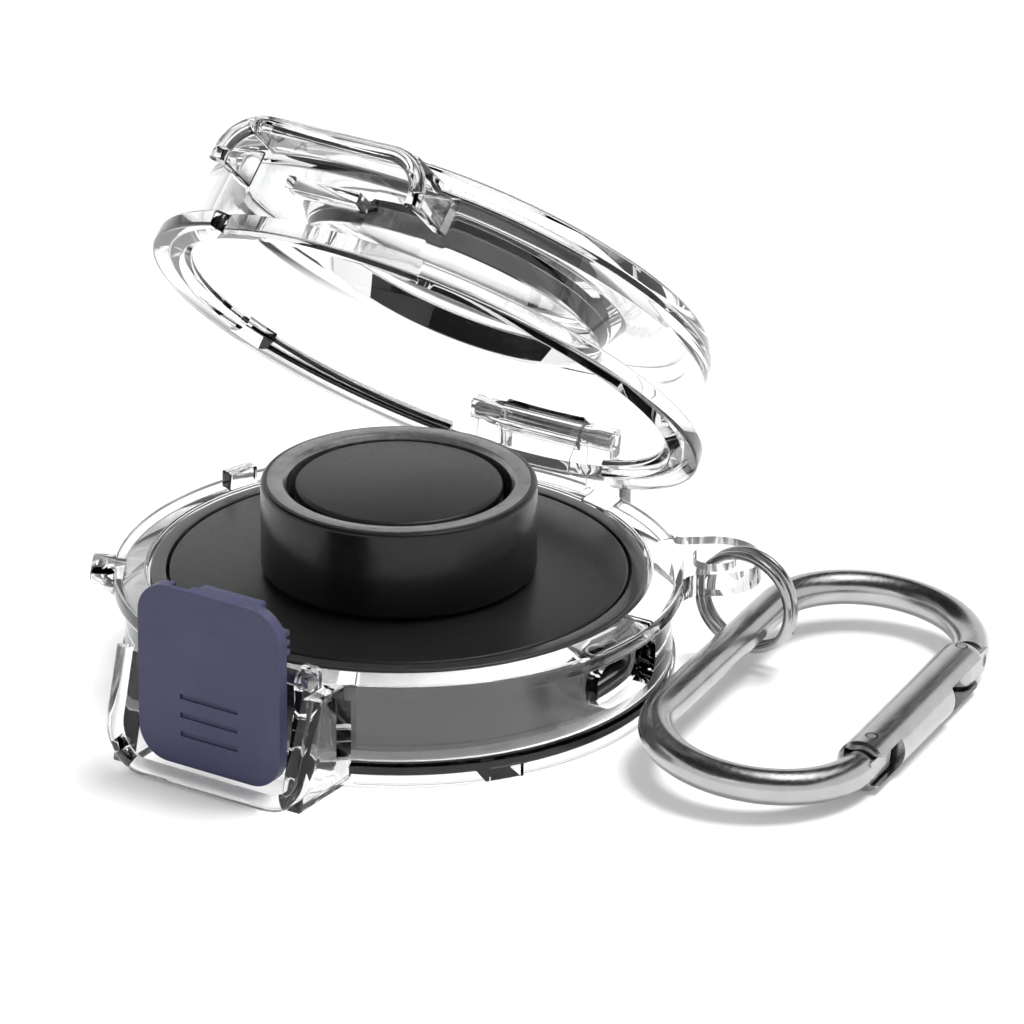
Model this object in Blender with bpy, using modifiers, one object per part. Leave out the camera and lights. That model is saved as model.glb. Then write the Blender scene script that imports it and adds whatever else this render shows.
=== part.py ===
"""A clear round case with a rocker latch, a split ring and a carabiner.

It stands open, as on a table, with a charging dock and a smart ring stored inside.
Metres, +Z up. The origin is the centre of the case's underside, the latch faces -Y,
the hinge is at +Y, and every part of the lid is drawn closed and then swung open.
"""

import math

import bpy
import bmesh
from mathutils import Matrix, Vector

MM = 0.001

# Clearances, laps and smoothness
FIT_GAP = 0.3 * MM
SNUG_GAP = 0.15 * MM
RUNNING_GAP = 0.15 * MM
OVERRUN = 1.0 * MM
LAP = 0.4 * MM
EDGE = 0.3 * MM
FLUSH_STEP = 0.05 * MM
WELD_DISTANCE = 0.001 * MM
LARGE_STEPS = 48
MEDIUM_STEPS = 32
SMALL_STEPS = 16
CORNER_STEPS = 5

# Charging dock, from the outside in
DOCK_RADIUS = 25.0 * MM
DOCK_BOTTOM = 3.0 * MM
DOCK_TOP = 11.5 * MM
HOUSING_WALL = 1.6 * MM
LEDGE_WIDTH = 1.5 * MM
LEDGE_THICKNESS = 0.9 * MM
TOP_PLATE_THICKNESS = 1.4 * MM
COVER_RECESS = 0.2 * MM
COVER_THICKNESS = 1.6 * MM
PAD_THICKNESS = 0.6 * MM
PAD_INSET = 6.0 * MM
PAD_WIDTH = 7.0 * MM
BOARD_INSET = 6.0 * MM
BOARD_THICKNESS = 1.0 * MM
POST_INSET = 1.8 * MM
POST_RADIUS = 1.9 * MM
POST_ANGLES = (60, 180, 300)
SCREW_SHANK_RADIUS = 0.75 * MM
SCREW_HEAD_RADIUS = 1.5 * MM
SCREW_HEAD_HEIGHT = 0.65 * MM
SCREW_LENGTH = 3.9 * MM
SCREW_SLOT_WIDTH = 0.5 * MM
SCREW_SLOT_DEPTH = 0.3 * MM

# Socket and the holes in front of it
SOCKET_WIDTH = 9.0 * MM
SOCKET_HEIGHT = 3.2 * MM
SOCKET_LENGTH = 7.4 * MM
SOCKET_WALL = 0.35 * MM
SOCKET_MOUTH_DEPTH = 6.2 * MM
SOCKET_TONGUE_THICKNESS = 0.7 * MM
SOCKET_TONGUE_MARGIN = 1.1 * MM
SOCKET_SETBACK = 0.4 * MM
PORT_MARGIN = 0.9 * MM

# Pillar that the smart ring sits on
PILLAR_RADIUS = 10.45 * MM
PILLAR_HEIGHT = 9.3 * MM
PILLAR_WALL = 1.5 * MM
SPIGOT_STEP = 1.45 * MM
SPIGOT_LENGTH = 3.2 * MM
CAP_THICKNESS = 0.9 * MM
CAP_SPIGOT_LENGTH = 0.8 * MM
CORE_RADIUS_SHARE = 0.64
CORE_FLANGE_THICKNESS = 0.9 * MM
CORE_FLANGE_DROP = 8.2 * MM

# Smart ring
RING_FIT = 0.85 * MM
RING_HEIGHT = 9.3 * MM
RING_SHELL_WALL = 1.53 * MM
RING_LINER_WALL = 0.75 * MM
RING_BEVEL = 0.4 * MM
RING_SLOPE = 0.2 * MM
LINER_SLOPE = 0.35 * MM

# Lower shell
SHELL_WALL = 2.3 * MM
SHELL_FLOOR = 2.0 * MM
RIM_TOP = DOCK_TOP
FLANGE_WIDTH = 1.15 * MM
FLANGE_THICKNESS = 1.7 * MM
FOOT_HEIGHT = 2.5 * MM
FOOT_STEP = 0.35 * MM
FOOT_NOTCH_ANGLE = -34.0
FOOT_NOTCH_WIDTH = 3.5 * MM
FOOT_NOTCH_HEIGHT = 1.6 * MM
TAB_ANGLE = 212.0
TAB_WIDTH = 5.0 * MM
TAB_REACH = 2.2 * MM
TAB_ROOT_DROP = 3.4 * MM
TAB_TIP_THICKNESS = 0.9 * MM

# Lug that holds the split ring, and the locating key on the rim
LUG_ANGLE = 38.7
LUG_NECK = 1.0 * MM
LUG_EYE_WALL = 2.45 * MM
LUG_HOLE_RADIUS = 2.25 * MM
LUG_THICKNESS = 2.4 * MM
LUG_FILLET = 1.5 * MM
KEY_ANGLE = 162.0
KEY_WIDTH = 3.6 * MM
KEY_THICKNESS = 1.7 * MM
KEY_HEIGHT = 1.8 * MM
KEY_DEPTH = 1.7 * MM

# Lid, drawn closed
LID_OPEN_ANGLE = 43.1
LID_WALL = 2.0 * MM
LID_DRAFT = 0.6 * MM
LID_FLANGE_WIDTH = 1.9 * MM
LID_LIP = 0.9 * MM
LID_SHOULDER_DROP = 2.0 * MM
LID_SHOULDER_INSET = 0.5 * MM
LID_HEADROOM = 0.4 * MM
LID_TOP_INSET = 1.6 * MM
LID_TOP_THICKNESS = 2.0 * MM
DISH_RIM_WIDTH = 9.2 * MM
DISH_SLOPE_WIDTH = 3.2 * MM
DISH_DEPTH = 1.1 * MM
DISH_FLOOR_THICKNESS = 1.4 * MM

# Hinge
HINGE_INSET = 0.55 * MM
HINGE_RISE = 5.0 * MM
HINGE_BARREL_RADIUS = 1.5 * MM
HINGE_PIN_RADIUS = 0.7 * MM
HINGE_RELIEF = 0.35 * MM
LID_KNUCKLE_WIDTH = 9.8 * MM
SHELL_KNUCKLE_WIDTH = 3.8 * MM
KNUCKLE_WEB_DROP = 7.0 * MM
KNUCKLE_FOOT_DEPTH = 3.0 * MM
KNUCKLE_WEB_ANGLE = 140.0

# Latch button, its pin and its spring
BUTTON_WIDTH = 16.7 * MM
BUTTON_HEIGHT = 18.8 * MM
BUTTON_BOTTOM = 1.8 * MM
BUTTON_OUTSET = 3.7 * MM
BUTTON_THICKNESS = 2.6 * MM
BUTTON_CORNER_RADIUS = 3.4 * MM
BUTTON_EDGE = 0.35 * MM
LATCH_AXIS_OUTSET = 0.85 * MM
LATCH_AXIS_RISE = 1.1 * MM
LATCH_BARREL_RADIUS = 1.5 * MM
LATCH_PIN_RADIUS = 0.8 * MM
LATCH_RIB_WIDTH = 3.0 * MM
LATCH_RIB_HALF_HEIGHT = 1.2 * MM
HOOK_HALF_WIDTH = 3.6 * MM
HOOK_HEIGHT = 1.2 * MM
HOOK_RISE = 5.6 * MM
HOOK_SETBACK = 1.0 * MM
HOOK_ENGAGEMENT = 0.8 * MM
LEDGE_MARGIN = 0.6 * MM
LEDGE_HEIGHT = 1.4 * MM
POCKET_DEPTH = 1.1 * MM
POCKET_BELOW = 3.4 * MM
POCKET_ABOVE = 2.0 * MM
SPRING_WIRE_RADIUS = 0.25 * MM
SPRING_LENGTH = 2.6 * MM
SPRING_TURNS = 2.5
SPRING_TURN_STEPS = 10
SPRING_BUTTON_LEG = 2.8 * MM
SPRING_SHELL_LEG = 4.0 * MM

# Frame around the latch button, half on the shell and half on the lid
FRAME_MARGIN = 3.55 * MM
FRAME_BEAD_RADIUS = 0.85 * MM
FRAME_TOP_DROP = 1.4 * MM
FRAME_BOTTOM = 0.05 * MM
FRAME_CORNER_RADIUS = 4.2 * MM
FRAME_OUTSET = 1.6 * MM
FRAME_LEAN = 3.0 * MM
LID_FRAME_ARM = 5.6 * MM
CHEEK_INSET = 1.0 * MM
EAR_THICKNESS = 1.05 * MM
EAR_RADIUS = 1.65 * MM
SKIRT_THICKNESS = 1.0 * MM
LID_CHEEK_INSET = 1.5 * MM
LID_CHEEK_THICKNESS = 1.2 * MM
BRIDGE_THICKNESS = 1.3 * MM
CHEEK_ROOT_DEPTH = 0.5 * MM
LID_CHEEK_ROOT_DEPTH = 1.9 * MM

# Split ring, two turns of wire
SPLIT_RING_RADIUS = 5.2 * MM
SPLIT_RING_WIRE_RADIUS = 0.45 * MM
SPLIT_RING_PITCH = 1.4 * MM
SPLIT_RING_TURNS = 2
SPLIT_RING_TURN_STEPS = 24
SPLIT_RING_DROP = 3.0 * MM
SPLIT_RING_OFFSET = 3.8 * MM
SPLIT_RING_YAW = 3.7

# Carabiner: its own frame has the spine on X = 0 and the gate on +X
CARABINER_BEND_RADIUS = 10.58 * MM
CARABINER_STRAIGHT = 26.34 * MM
CARABINER_ROD_RADIUS = 1.8 * MM
CARABINER_ROD_STEPS = 12
CARABINER_YAW = 7.55
SPINE_PAST_HOLE_X = 5.486 * MM
SPINE_PAST_HOLE_Y = -7.818 * MM
SPINE_DROP = 2.57 * MM
GATE_RADIUS = 2.65 * MM
GATE_STEPS = 28
GATE_NOSE_OVERLAP = 0.5 * MM
GATE_NOSE_SLOT = 5.0 * MM
GATE_SLOT_WALL = 0.75 * MM
TONGUE_HALF_THICKNESS = 1.3 * MM
TONGUE_RADIUS = 1.5 * MM
RIVET_INSET = 1.5 * MM
RIVET_RADIUS = 0.5 * MM
NOSE_LENGTH = 3.5 * MM
NOSE_PIN_RADIUS = 0.5 * MM
NOSE_PIN_INSET = 1.5 * MM
GATE_BACK_SETBACK = 0.3 * MM
GATE_SPRING_WIRE_RADIUS = 0.175 * MM
GATE_SPRING_RADIUS = 0.92 * MM
GATE_SPRING_PITCH = 0.85 * MM
GATE_SPRING_TURNS = 5.5

# Sizes and places that follow from the ones above
SHELL_INNER_RADIUS = DOCK_RADIUS + FIT_GAP
SHELL_RADIUS = SHELL_INNER_RADIUS + SHELL_WALL
FLANGE_RADIUS = SHELL_RADIUS + FLANGE_WIDTH
PAD_OUTER_RADIUS = DOCK_RADIUS - PAD_INSET
PAD_INNER_RADIUS = PAD_OUTER_RADIUS - PAD_WIDTH
BOARD_RADIUS = DOCK_RADIUS - BOARD_INSET
POST_CIRCLE_RADIUS = DOCK_RADIUS - HOUSING_WALL - POST_INSET
SOCKET_Z = DOCK_BOTTOM + COVER_RECESS + COVER_THICKNESS + FIT_GAP + SOCKET_HEIGHT / 2
SOCKET_FRONT = DOCK_RADIUS - SOCKET_SETBACK
COVER_TOP = DOCK_BOTTOM + COVER_RECESS + COVER_THICKNESS
BOARD_BOTTOM = COVER_TOP + FIT_GAP
BOARD_TOP = BOARD_BOTTOM + BOARD_THICKNESS
PILLAR_TOP = DOCK_TOP + PILLAR_HEIGHT
SPIGOT_RADIUS = PILLAR_RADIUS - SPIGOT_STEP
COIL_OUTER_RADIUS = SPIGOT_RADIUS - PILLAR_WALL - FIT_GAP
CORE_RADIUS = COIL_OUTER_RADIUS * CORE_RADIUS_SHARE
RING_RADIUS = PILLAR_RADIUS + RING_FIT + RING_LINER_WALL + FIT_GAP + RING_SHELL_WALL
RING_BOTTOM = DOCK_TOP + FIT_GAP
RING_TOP = RING_BOTTOM + RING_HEIGHT
LUG_HOLE_REACH = FLANGE_RADIUS + LUG_NECK + LUG_HOLE_RADIUS
LUG_RADIUS = LUG_HOLE_RADIUS + LUG_EYE_WALL
KEY_INNER_RADIUS = SHELL_INNER_RADIUS + FIT_GAP
LID_BOTTOM = RIM_TOP + FIT_GAP
LID_TOP = RING_TOP + LID_HEADROOM + DISH_FLOOR_THICKNESS + DISH_DEPTH
LID_CEILING = LID_TOP - LID_TOP_THICKNESS
LID_SHOULDER_TOP = LID_TOP - LID_SHOULDER_DROP
LID_RADIUS = SHELL_RADIUS - FIT_GAP / 3
LID_INNER_RADIUS = LID_RADIUS - LID_WALL
LID_FLANGE_RADIUS = LID_RADIUS + LID_FLANGE_WIDTH
LID_TOP_RADIUS = LID_RADIUS - LID_TOP_INSET
DISH_OUTER_RADIUS = LID_TOP_RADIUS - DISH_RIM_WIDTH
DISH_INNER_RADIUS = DISH_OUTER_RADIUS - DISH_SLOPE_WIDTH
HINGE_Y = FLANGE_RADIUS - HINGE_INSET
HINGE_Z = RIM_TOP + HINGE_RISE
HINGE_RELIEF_RADIUS = HINGE_BARREL_RADIUS + HINGE_RELIEF
LATCH_AXIS_Y = -FLANGE_RADIUS - LATCH_AXIS_OUTSET
LATCH_AXIS_Z = RIM_TOP + LATCH_AXIS_RISE
BUTTON_FRONT = BUTTON_OUTSET - LATCH_AXIS_Y
BUTTON_BACK = BUTTON_FRONT - BUTTON_THICKNESS
POCKET_HALF_WIDTH = SPRING_LENGTH / 2 + SPRING_WIRE_RADIUS + FIT_GAP
LATCH_RIB_INNER = POCKET_HALF_WIDTH + SNUG_GAP
LATCH_RIB_OUTER = LATCH_RIB_INNER + LATCH_RIB_WIDTH
SPRING_MEAN_RADIUS = LATCH_PIN_RADIUS + FIT_GAP + SPRING_WIRE_RADIUS
HOOK_BOTTOM = LATCH_AXIS_Z + HOOK_RISE
HOOK_REACH = -LATCH_AXIS_Y - HOOK_SETBACK
LEDGE_HALF_WIDTH = HOOK_HALF_WIDTH + LEDGE_MARGIN
EAR_INNER = BUTTON_WIDTH / 2 + FIT_GAP
FRAME_HALF_WIDTH = EAR_INNER + FRAME_MARGIN
FRAME_BEAD_X = FRAME_HALF_WIDTH - FRAME_BEAD_RADIUS
FRAME_TOP = LID_TOP - FRAME_TOP_DROP
FRAME_Y = LATCH_AXIS_Y - FRAME_OUTSET
CHEEK_OUTER = FRAME_HALF_WIDTH - CHEEK_INSET
CHEEK_ROOT_Y = -SHELL_INNER_RADIUS + CHEEK_ROOT_DEPTH
LID_CHEEK_INNER = FRAME_HALF_WIDTH - LID_CHEEK_INSET
LID_CHEEK_ROOT_Y = -LID_INNER_RADIUS + LID_CHEEK_ROOT_DEPTH
SPLIT_RING_HEIGHT = RIM_TOP - LUG_THICKNESS / 2 - SPLIT_RING_DROP
SPINE_X = LUG_HOLE_REACH * math.cos(math.radians(LUG_ANGLE)) + SPINE_PAST_HOLE_X
SPINE_Y = LUG_HOLE_REACH * math.sin(math.radians(LUG_ANGLE)) + SPINE_PAST_HOLE_Y
SPINE_Z = SPLIT_RING_HEIGHT - SPINE_DROP
RIVET_Y = CARABINER_STRAIGHT / 2 - RIVET_INSET
GATE_Z = GATE_RADIUS + FLUSH_STEP
GATE_X = 2 * CARABINER_BEND_RADIUS


def new_collection(name):
    collection = bpy.data.collections.new(name)
    bpy.context.scene.collection.children.link(collection)
    return collection


def clear_scene():
    for old in list(bpy.data.objects):
        bpy.data.objects.remove(old, do_unlink=True)


clear_scene()
PARTS = new_collection("carabiner_case")
CUTTERS = new_collection("cutters")


def material(name, color, roughness, metallic=0.0, alpha=1.0):
    made = bpy.data.materials.new(name)
    made.use_nodes = True
    shader = made.node_tree.nodes["Principled BSDF"]
    shader.inputs["Base Color"].default_value = (*color, 1.0)
    shader.inputs["Roughness"].default_value = roughness
    shader.inputs["Metallic"].default_value = metallic
    shader.inputs["Alpha"].default_value = alpha
    made.diffuse_color = (*color, alpha)
    return made


CLEAR = material("clear_plastic", (0.93, 0.94, 0.95), 0.05, alpha=0.35)
VIOLET = material("violet_plastic", (0.07, 0.07, 0.14), 0.45)
STEEL = material("satin_steel", (0.42, 0.42, 0.43), 0.3, metallic=1.0)
SPRING_STEEL = material("spring_steel", (0.55, 0.55, 0.56), 0.25, metallic=1.0)
MATT_BLACK = material("matt_black", (0.035, 0.035, 0.037), 0.6)
SIDE_GREY = material("side_grey", (0.06, 0.06, 0.062), 0.4)
GLOSS_BLACK = material("gloss_black", (0.008, 0.008, 0.009), 0.12)
LINER_GREY = material("liner_grey", (0.35, 0.35, 0.36), 0.3)
RUBBER = material("rubber", (0.03, 0.03, 0.03), 0.8)
BOARD_GREEN = material("board_green", (0.02, 0.12, 0.05), 0.5)
COPPER = material("copper", (0.6, 0.25, 0.1), 0.35, metallic=1.0)
FERRITE = material("ferrite", (0.05, 0.05, 0.055), 0.7)


def keep(obj, surface):
    """Makes the object one of the parts, with its material and smooth round faces."""
    obj.data.materials.clear()
    obj.data.materials.append(surface)
    PARTS.objects.link(obj)
    return obj


def helper(obj):
    """Keeps a cutter, or a piece that is joined to a part, out of the render."""
    obj.hide_render = True
    obj.display_type = "WIRE"
    CUTTERS.objects.link(obj)
    return obj


def from_bmesh(name, bm):
    bmesh.ops.recalc_face_normals(bm, faces=bm.faces)
    mesh = bpy.data.meshes.new(name)
    bm.to_mesh(mesh)
    bm.free()
    return bpy.data.objects.new(name, mesh)


def turned(name, profile, steps, closed=False):
    """A profile of (radius, height) points turned about Z. It runs down its outer side."""
    points = [(radius, 0.0, height) for radius, height in profile]
    edges = [(i, i + 1) for i in range(len(points) - 1)]
    if closed:
        edges.append((len(points) - 1, 0))
    mesh = bpy.data.meshes.new(name)
    mesh.from_pydata(points, edges, [])
    obj = bpy.data.objects.new(name, mesh)
    screw = obj.modifiers.new("turn", "SCREW")
    screw.axis = "Z"
    screw.steps = steps
    screw.render_steps = steps
    screw.use_merge_vertices = True
    screw.merge_threshold = WELD_DISTANCE
    screw.use_smooth_shade = True
    return obj


def box(name, low, high):
    low, high = Vector(low), Vector(high)
    bm = bmesh.new()
    bmesh.ops.create_cube(bm, size=1.0)
    bmesh.ops.scale(bm, vec=high - low, verts=bm.verts)
    bmesh.ops.translate(bm, vec=(low + high) / 2, verts=bm.verts)
    return from_bmesh(name, bm)


def rod(name, radius, start, end, steps=SMALL_STEPS):
    """A straight cylinder from one point to another."""
    start, end = Vector(start), Vector(end)
    along = end - start
    turn = along.to_track_quat("Z", "Y").to_matrix().to_4x4()
    bm = bmesh.new()
    bmesh.ops.create_cone(
        bm,
        cap_ends=True,
        segments=steps,
        radius1=radius,
        radius2=radius,
        depth=along.length,
        matrix=Matrix.Translation((start + end) / 2) @ turn,
    )
    return from_bmesh(name, bm)


def to_mesh(obj):
    """A mesh object made from a curve, with its caps welded."""
    bpy.context.scene.collection.objects.link(obj)
    graph = bpy.context.evaluated_depsgraph_get()
    mesh = bpy.data.meshes.new_from_object(obj.evaluated_get(graph))
    bm = bmesh.new()
    bm.from_mesh(mesh)
    bmesh.ops.remove_doubles(bm, verts=bm.verts, dist=WELD_DISTANCE)
    bmesh.ops.recalc_face_normals(bm, faces=bm.faces)
    bm.to_mesh(mesh)
    bm.free()
    name, placed = obj.name, obj.matrix_world.copy()
    bpy.data.objects.remove(obj, do_unlink=True)
    made = bpy.data.objects.new(name, mesh)
    made.matrix_world = placed
    return made


def poly_curve(name, dimensions, points, cyclic):
    data = bpy.data.curves.new(name, "CURVE")
    data.dimensions = dimensions
    spline = data.splines.new("POLY")
    spline.points.add(len(points) - 1)
    for point, place in zip(spline.points, points):
        point.co = (*place, 1.0) if len(place) == 3 else (*place, 0.0, 1.0)
    spline.use_cyclic_u = cyclic
    return data


def tube(name, points, radius, rounding=2, cyclic=False):
    """A round wire along a list of points. The rounding gives 4 + 2 * rounding sides."""
    data = poly_curve(name, "3D", points, cyclic)
    data.bevel_depth = radius
    data.bevel_resolution = rounding
    data.use_fill_caps = True
    return to_mesh(bpy.data.objects.new(name, data))


def plate(name, outline, low, high, matrix=None):
    """A flat outline given thickness from low to high along its own Z, then placed."""
    data = poly_curve(name, "2D", outline, True)
    data.fill_mode = "BOTH"
    data.extrude = (high - low) / 2
    obj = to_mesh(bpy.data.objects.new(name, data))
    place = Matrix.Translation((0, 0, (low + high) / 2))
    obj.data.transform((matrix or Matrix.Identity(4)) @ place)
    return obj


def arc(centre, radius, start, end, steps):
    """Points on an arc, with angles in degrees."""
    found = []
    for i in range(steps + 1):
        angle = math.radians(start + (end - start) * i / steps)
        found.append((centre[0] + radius * math.cos(angle), centre[1] + radius * math.sin(angle)))
    return found


def rounded_rectangle(half_width, bottom, top, corner, steps=CORNER_STEPS):
    inner, low, high = half_width - corner, bottom + corner, top - corner
    return (
        arc((inner, high), corner, 0, 90, steps)
        + arc((-inner, high), corner, 90, 180, steps)
        + arc((-inner, low), corner, 180, 270, steps)
        + arc((inner, low), corner, 270, 360, steps)
    )


def ring_sector(inner, outer, middle, half_chord):
    """The outline of part of a ring that spans half_chord to each side of an angle."""
    spread = math.degrees(math.asin(half_chord / inner))
    steps = CORNER_STEPS * 2
    return (
        arc((0, 0), outer, middle - spread, middle + spread, steps)
        + arc((0, 0), inner, middle + spread, middle - spread, steps)
    )


def boolean(obj, other, operation):
    modifier = obj.modifiers.new(other.name, "BOOLEAN")
    modifier.operation = operation
    modifier.object = helper(other)
    return obj


def join(obj, *others):
    for other in others:
        boolean(obj, other, "UNION")


def cut(obj, *others):
    for other in others:
        boolean(obj, other, "DIFFERENCE")


def pivot(name, location, rotation=(0, 0, 0), parent=None):
    empty = bpy.data.objects.new(name, None)
    empty.location = location
    empty.rotation_euler = rotation
    empty.parent = parent
    PARTS.objects.link(empty)
    return empty


def family(obj):
    """An object with all that cuts or joins it."""
    return [obj] + [modifier.object for modifier in obj.modifiers if modifier.type == "BOOLEAN"]


def hang(empty, obj):
    """Parents a part to an empty in whose frame it was drawn."""
    for member in family(obj):
        member.parent = empty


def hang_in_place(empty, obj):
    """Parents a part that was drawn in the frame that the empty itself stands in."""
    hang(empty, obj)
    for member in family(obj):
        member.matrix_parent_inverse = Matrix.Translation(-Vector(empty.location))


# Matrices that lay an outline's X and Y on two of the world's axes
SIDEWAYS = Matrix(((0, 0, 1, 0), (1, 0, 0, 0), (0, 1, 0, 0), (0, 0, 0, 1)))
FACING_BACK = Matrix(((1, 0, 0, 0), (0, 0, -1, 0), (0, 1, 0, 0), (0, 0, 0, 1)))


def about_z(angle, reach=0.0):
    turn = Matrix.Rotation(math.radians(angle), 4, "Z")
    return turn @ Matrix.Translation((reach, 0, 0))


def along_x(name, radius, low, high, y, z, steps=SMALL_STEPS):
    return rod(name, radius, (low, y, z), (high, y, z), steps)


def shell_body():
    profile = [
        (0, SHELL_FLOOR),
        (SHELL_INNER_RADIUS, SHELL_FLOOR),
        (SHELL_INNER_RADIUS, RIM_TOP - EDGE),
        (SHELL_INNER_RADIUS + EDGE, RIM_TOP),
        (FLANGE_RADIUS - EDGE, RIM_TOP),
        (FLANGE_RADIUS, RIM_TOP - EDGE),
        (FLANGE_RADIUS, RIM_TOP - FLANGE_THICKNESS + EDGE),
        (SHELL_RADIUS, RIM_TOP - FLANGE_THICKNESS - EDGE),
        (SHELL_RADIUS, FOOT_HEIGHT + EDGE),
        (SHELL_RADIUS + FOOT_STEP, FOOT_HEIGHT - EDGE),
        (SHELL_RADIUS + FOOT_STEP, 2 * EDGE),
        (SHELL_RADIUS + FOOT_STEP - 2 * EDGE, 0),
        (0, 0),
    ]
    return turned("lower_shell", profile, LARGE_STEPS)


def port_cutter(name, inner, outer, margin):
    """A stadium-shaped hole along +X, in front of the socket."""
    half_height = SOCKET_HEIGHT / 2 + margin
    outline = rounded_rectangle(
        SOCKET_WIDTH / 2 + margin,
        SOCKET_Z - half_height,
        SOCKET_Z + half_height,
        half_height - EDGE,
    )
    return plate(name, outline, inner, outer, SIDEWAYS)


def lug_outline():
    """The tongue of the lug round its hole, widened by a fillet where it leaves the flange."""
    root = LUG_HOLE_REACH - SHELL_RADIUS + SHELL_WALL / 3
    fillet_y = LUG_RADIUS + LUG_FILLET
    around = FLANGE_RADIUS + LUG_FILLET
    fillet_x = math.sqrt(around**2 - fillet_y**2) - LUG_HOLE_REACH
    sweep = math.degrees(math.atan2(fillet_y, fillet_x + LUG_HOLE_REACH))
    upper = arc((fillet_x, fillet_y), LUG_FILLET, 270, 180 + sweep, CORNER_STEPS)
    lower = [(x, -y) for x, y in reversed(upper)]
    tip = arc((0, 0), LUG_RADIUS, -90, 90, CORNER_STEPS * 3)
    root_y = fillet_y - LUG_FILLET / 2
    return tip + upper + [(-root, root_y), (-root, -root_y)] + lower


def frame_path(bottom, arm, lean):
    """Half of the frame: down one arm, round two corners and up the other arm."""
    low = bottom + FRAME_BEAD_RADIUS
    corner = FRAME_CORNER_RADIUS
    inner = FRAME_BEAD_X - corner
    flat = (
        [(-FRAME_BEAD_X, arm)]
        + arc((-inner, low + corner), corner, 180, 270, CORNER_STEPS)
        + arc((inner, low + corner), corner, 270, 360, CORNER_STEPS)
        + [(FRAME_BEAD_X, arm)]
    )
    return [(x, FRAME_Y - lean * (arm - z) / (arm - low), z) for x, z in flat]


def lower_frame_pieces():
    """The bead, the cheeks, the pivot ears and the skirt that join it to the shell."""
    path = frame_path(FRAME_BOTTOM, RIM_TOP + FIT_GAP, FRAME_LEAN)
    pieces = [tube("lower_bead", path, FRAME_BEAD_RADIUS)]
    low_front = FRAME_Y - FRAME_LEAN * (1 - SKIRT_THICKNESS / RIM_TOP)
    cheek = [
        (CHEEK_ROOT_Y, SKIRT_THICKNESS - LAP),
        (low_front, SKIRT_THICKNESS - LAP),
        (FRAME_Y, RIM_TOP - FLUSH_STEP),
        (CHEEK_ROOT_Y, RIM_TOP - FLUSH_STEP),
    ]
    ear = arc((LATCH_AXIS_Y, LATCH_AXIS_Z), EAR_RADIUS, 0, 180, CORNER_STEPS * 2) + [
        (LATCH_AXIS_Y - EAR_RADIUS, RIM_TOP - FLANGE_THICKNESS),
        (LATCH_AXIS_Y + EAR_RADIUS, RIM_TOP - FLANGE_THICKNESS),
    ]
    for side, name in ((-1, "left"), (1, "right")):
        low, high = sorted((side * (EAR_INNER + FLUSH_STEP), side * CHEEK_OUTER))
        pieces.append(plate(f"cheek_{name}", cheek, low, high, SIDEWAYS))
        low, high = sorted((side * EAR_INNER, side * (EAR_INNER + EAR_THICKNESS)))
        pieces.append(plate(f"ear_{name}", ear, low, high, SIDEWAYS))
    half_width = EAR_INNER + 2 * LAP
    front = (-half_width, FRAME_Y - FRAME_LEAN, FRAME_BOTTOM)
    back = (half_width, CHEEK_ROOT_Y, SKIRT_THICKNESS)
    pieces.append(box("skirt", front, back))
    return pieces


def shell_knuckles():
    """The two outer knuckles, each in one piece with the web and the foot that carry it."""
    back = HINGE_Y + HINGE_BARREL_RADIUS
    upper = arc((HINGE_Y, HINGE_Z), HINGE_BARREL_RADIUS, 0, KNUCKLE_WEB_ANGLE, CORNER_STEPS * 2)
    front = upper[-1][0]
    low_z = HINGE_Z - KNUCKLE_WEB_DROP
    top_z = RIM_TOP - FLUSH_STEP
    outline = upper + [
        (front, top_z),
        (HINGE_Y - KNUCKLE_FOOT_DEPTH, top_z),
        (HINGE_Y - KNUCKLE_FOOT_DEPTH, low_z - HINGE_BARREL_RADIUS),
        (back, low_z),
    ]
    start = LID_KNUCKLE_WIDTH / 2 + FIT_GAP
    pieces = []
    for side, name in ((-1, "left"), (1, "right")):
        low, high = sorted((side * start, side * (start + SHELL_KNUCKLE_WIDTH)))
        pieces.append(plate(f"knuckle_{name}", outline, low, high, SIDEWAYS))
    return pieces


def thumb_tab():
    """A tab under the rim, beside the latch, that a thumb pushes against to open the lid."""
    inner, outer = SHELL_RADIUS - LAP, FLANGE_RADIUS + TAB_REACH
    top = RIM_TOP - FLUSH_STEP
    outline = [
        (inner, top),
        (inner, top - TAB_ROOT_DROP),
        (outer, top - TAB_TIP_THICKNESS),
        (outer, top),
    ]
    half = TAB_WIDTH / 2
    return plate("thumb_tab", outline, -half, half, about_z(TAB_ANGLE) @ FACING_BACK)


def locating_key():
    outer = KEY_INNER_RADIUS + KEY_THICKNESS
    outline = ring_sector(KEY_INNER_RADIUS, outer, KEY_ANGLE, KEY_WIDTH / 2)
    return plate("key", outline, RIM_TOP - KEY_DEPTH, RIM_TOP + KEY_HEIGHT)


def foot_notch():
    outline = ring_sector(SHELL_RADIUS - EDGE, FLANGE_RADIUS, FOOT_NOTCH_ANGLE, FOOT_NOTCH_WIDTH / 2)
    return plate("foot_notch", outline, -OVERRUN, FOOT_NOTCH_HEIGHT)


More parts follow.
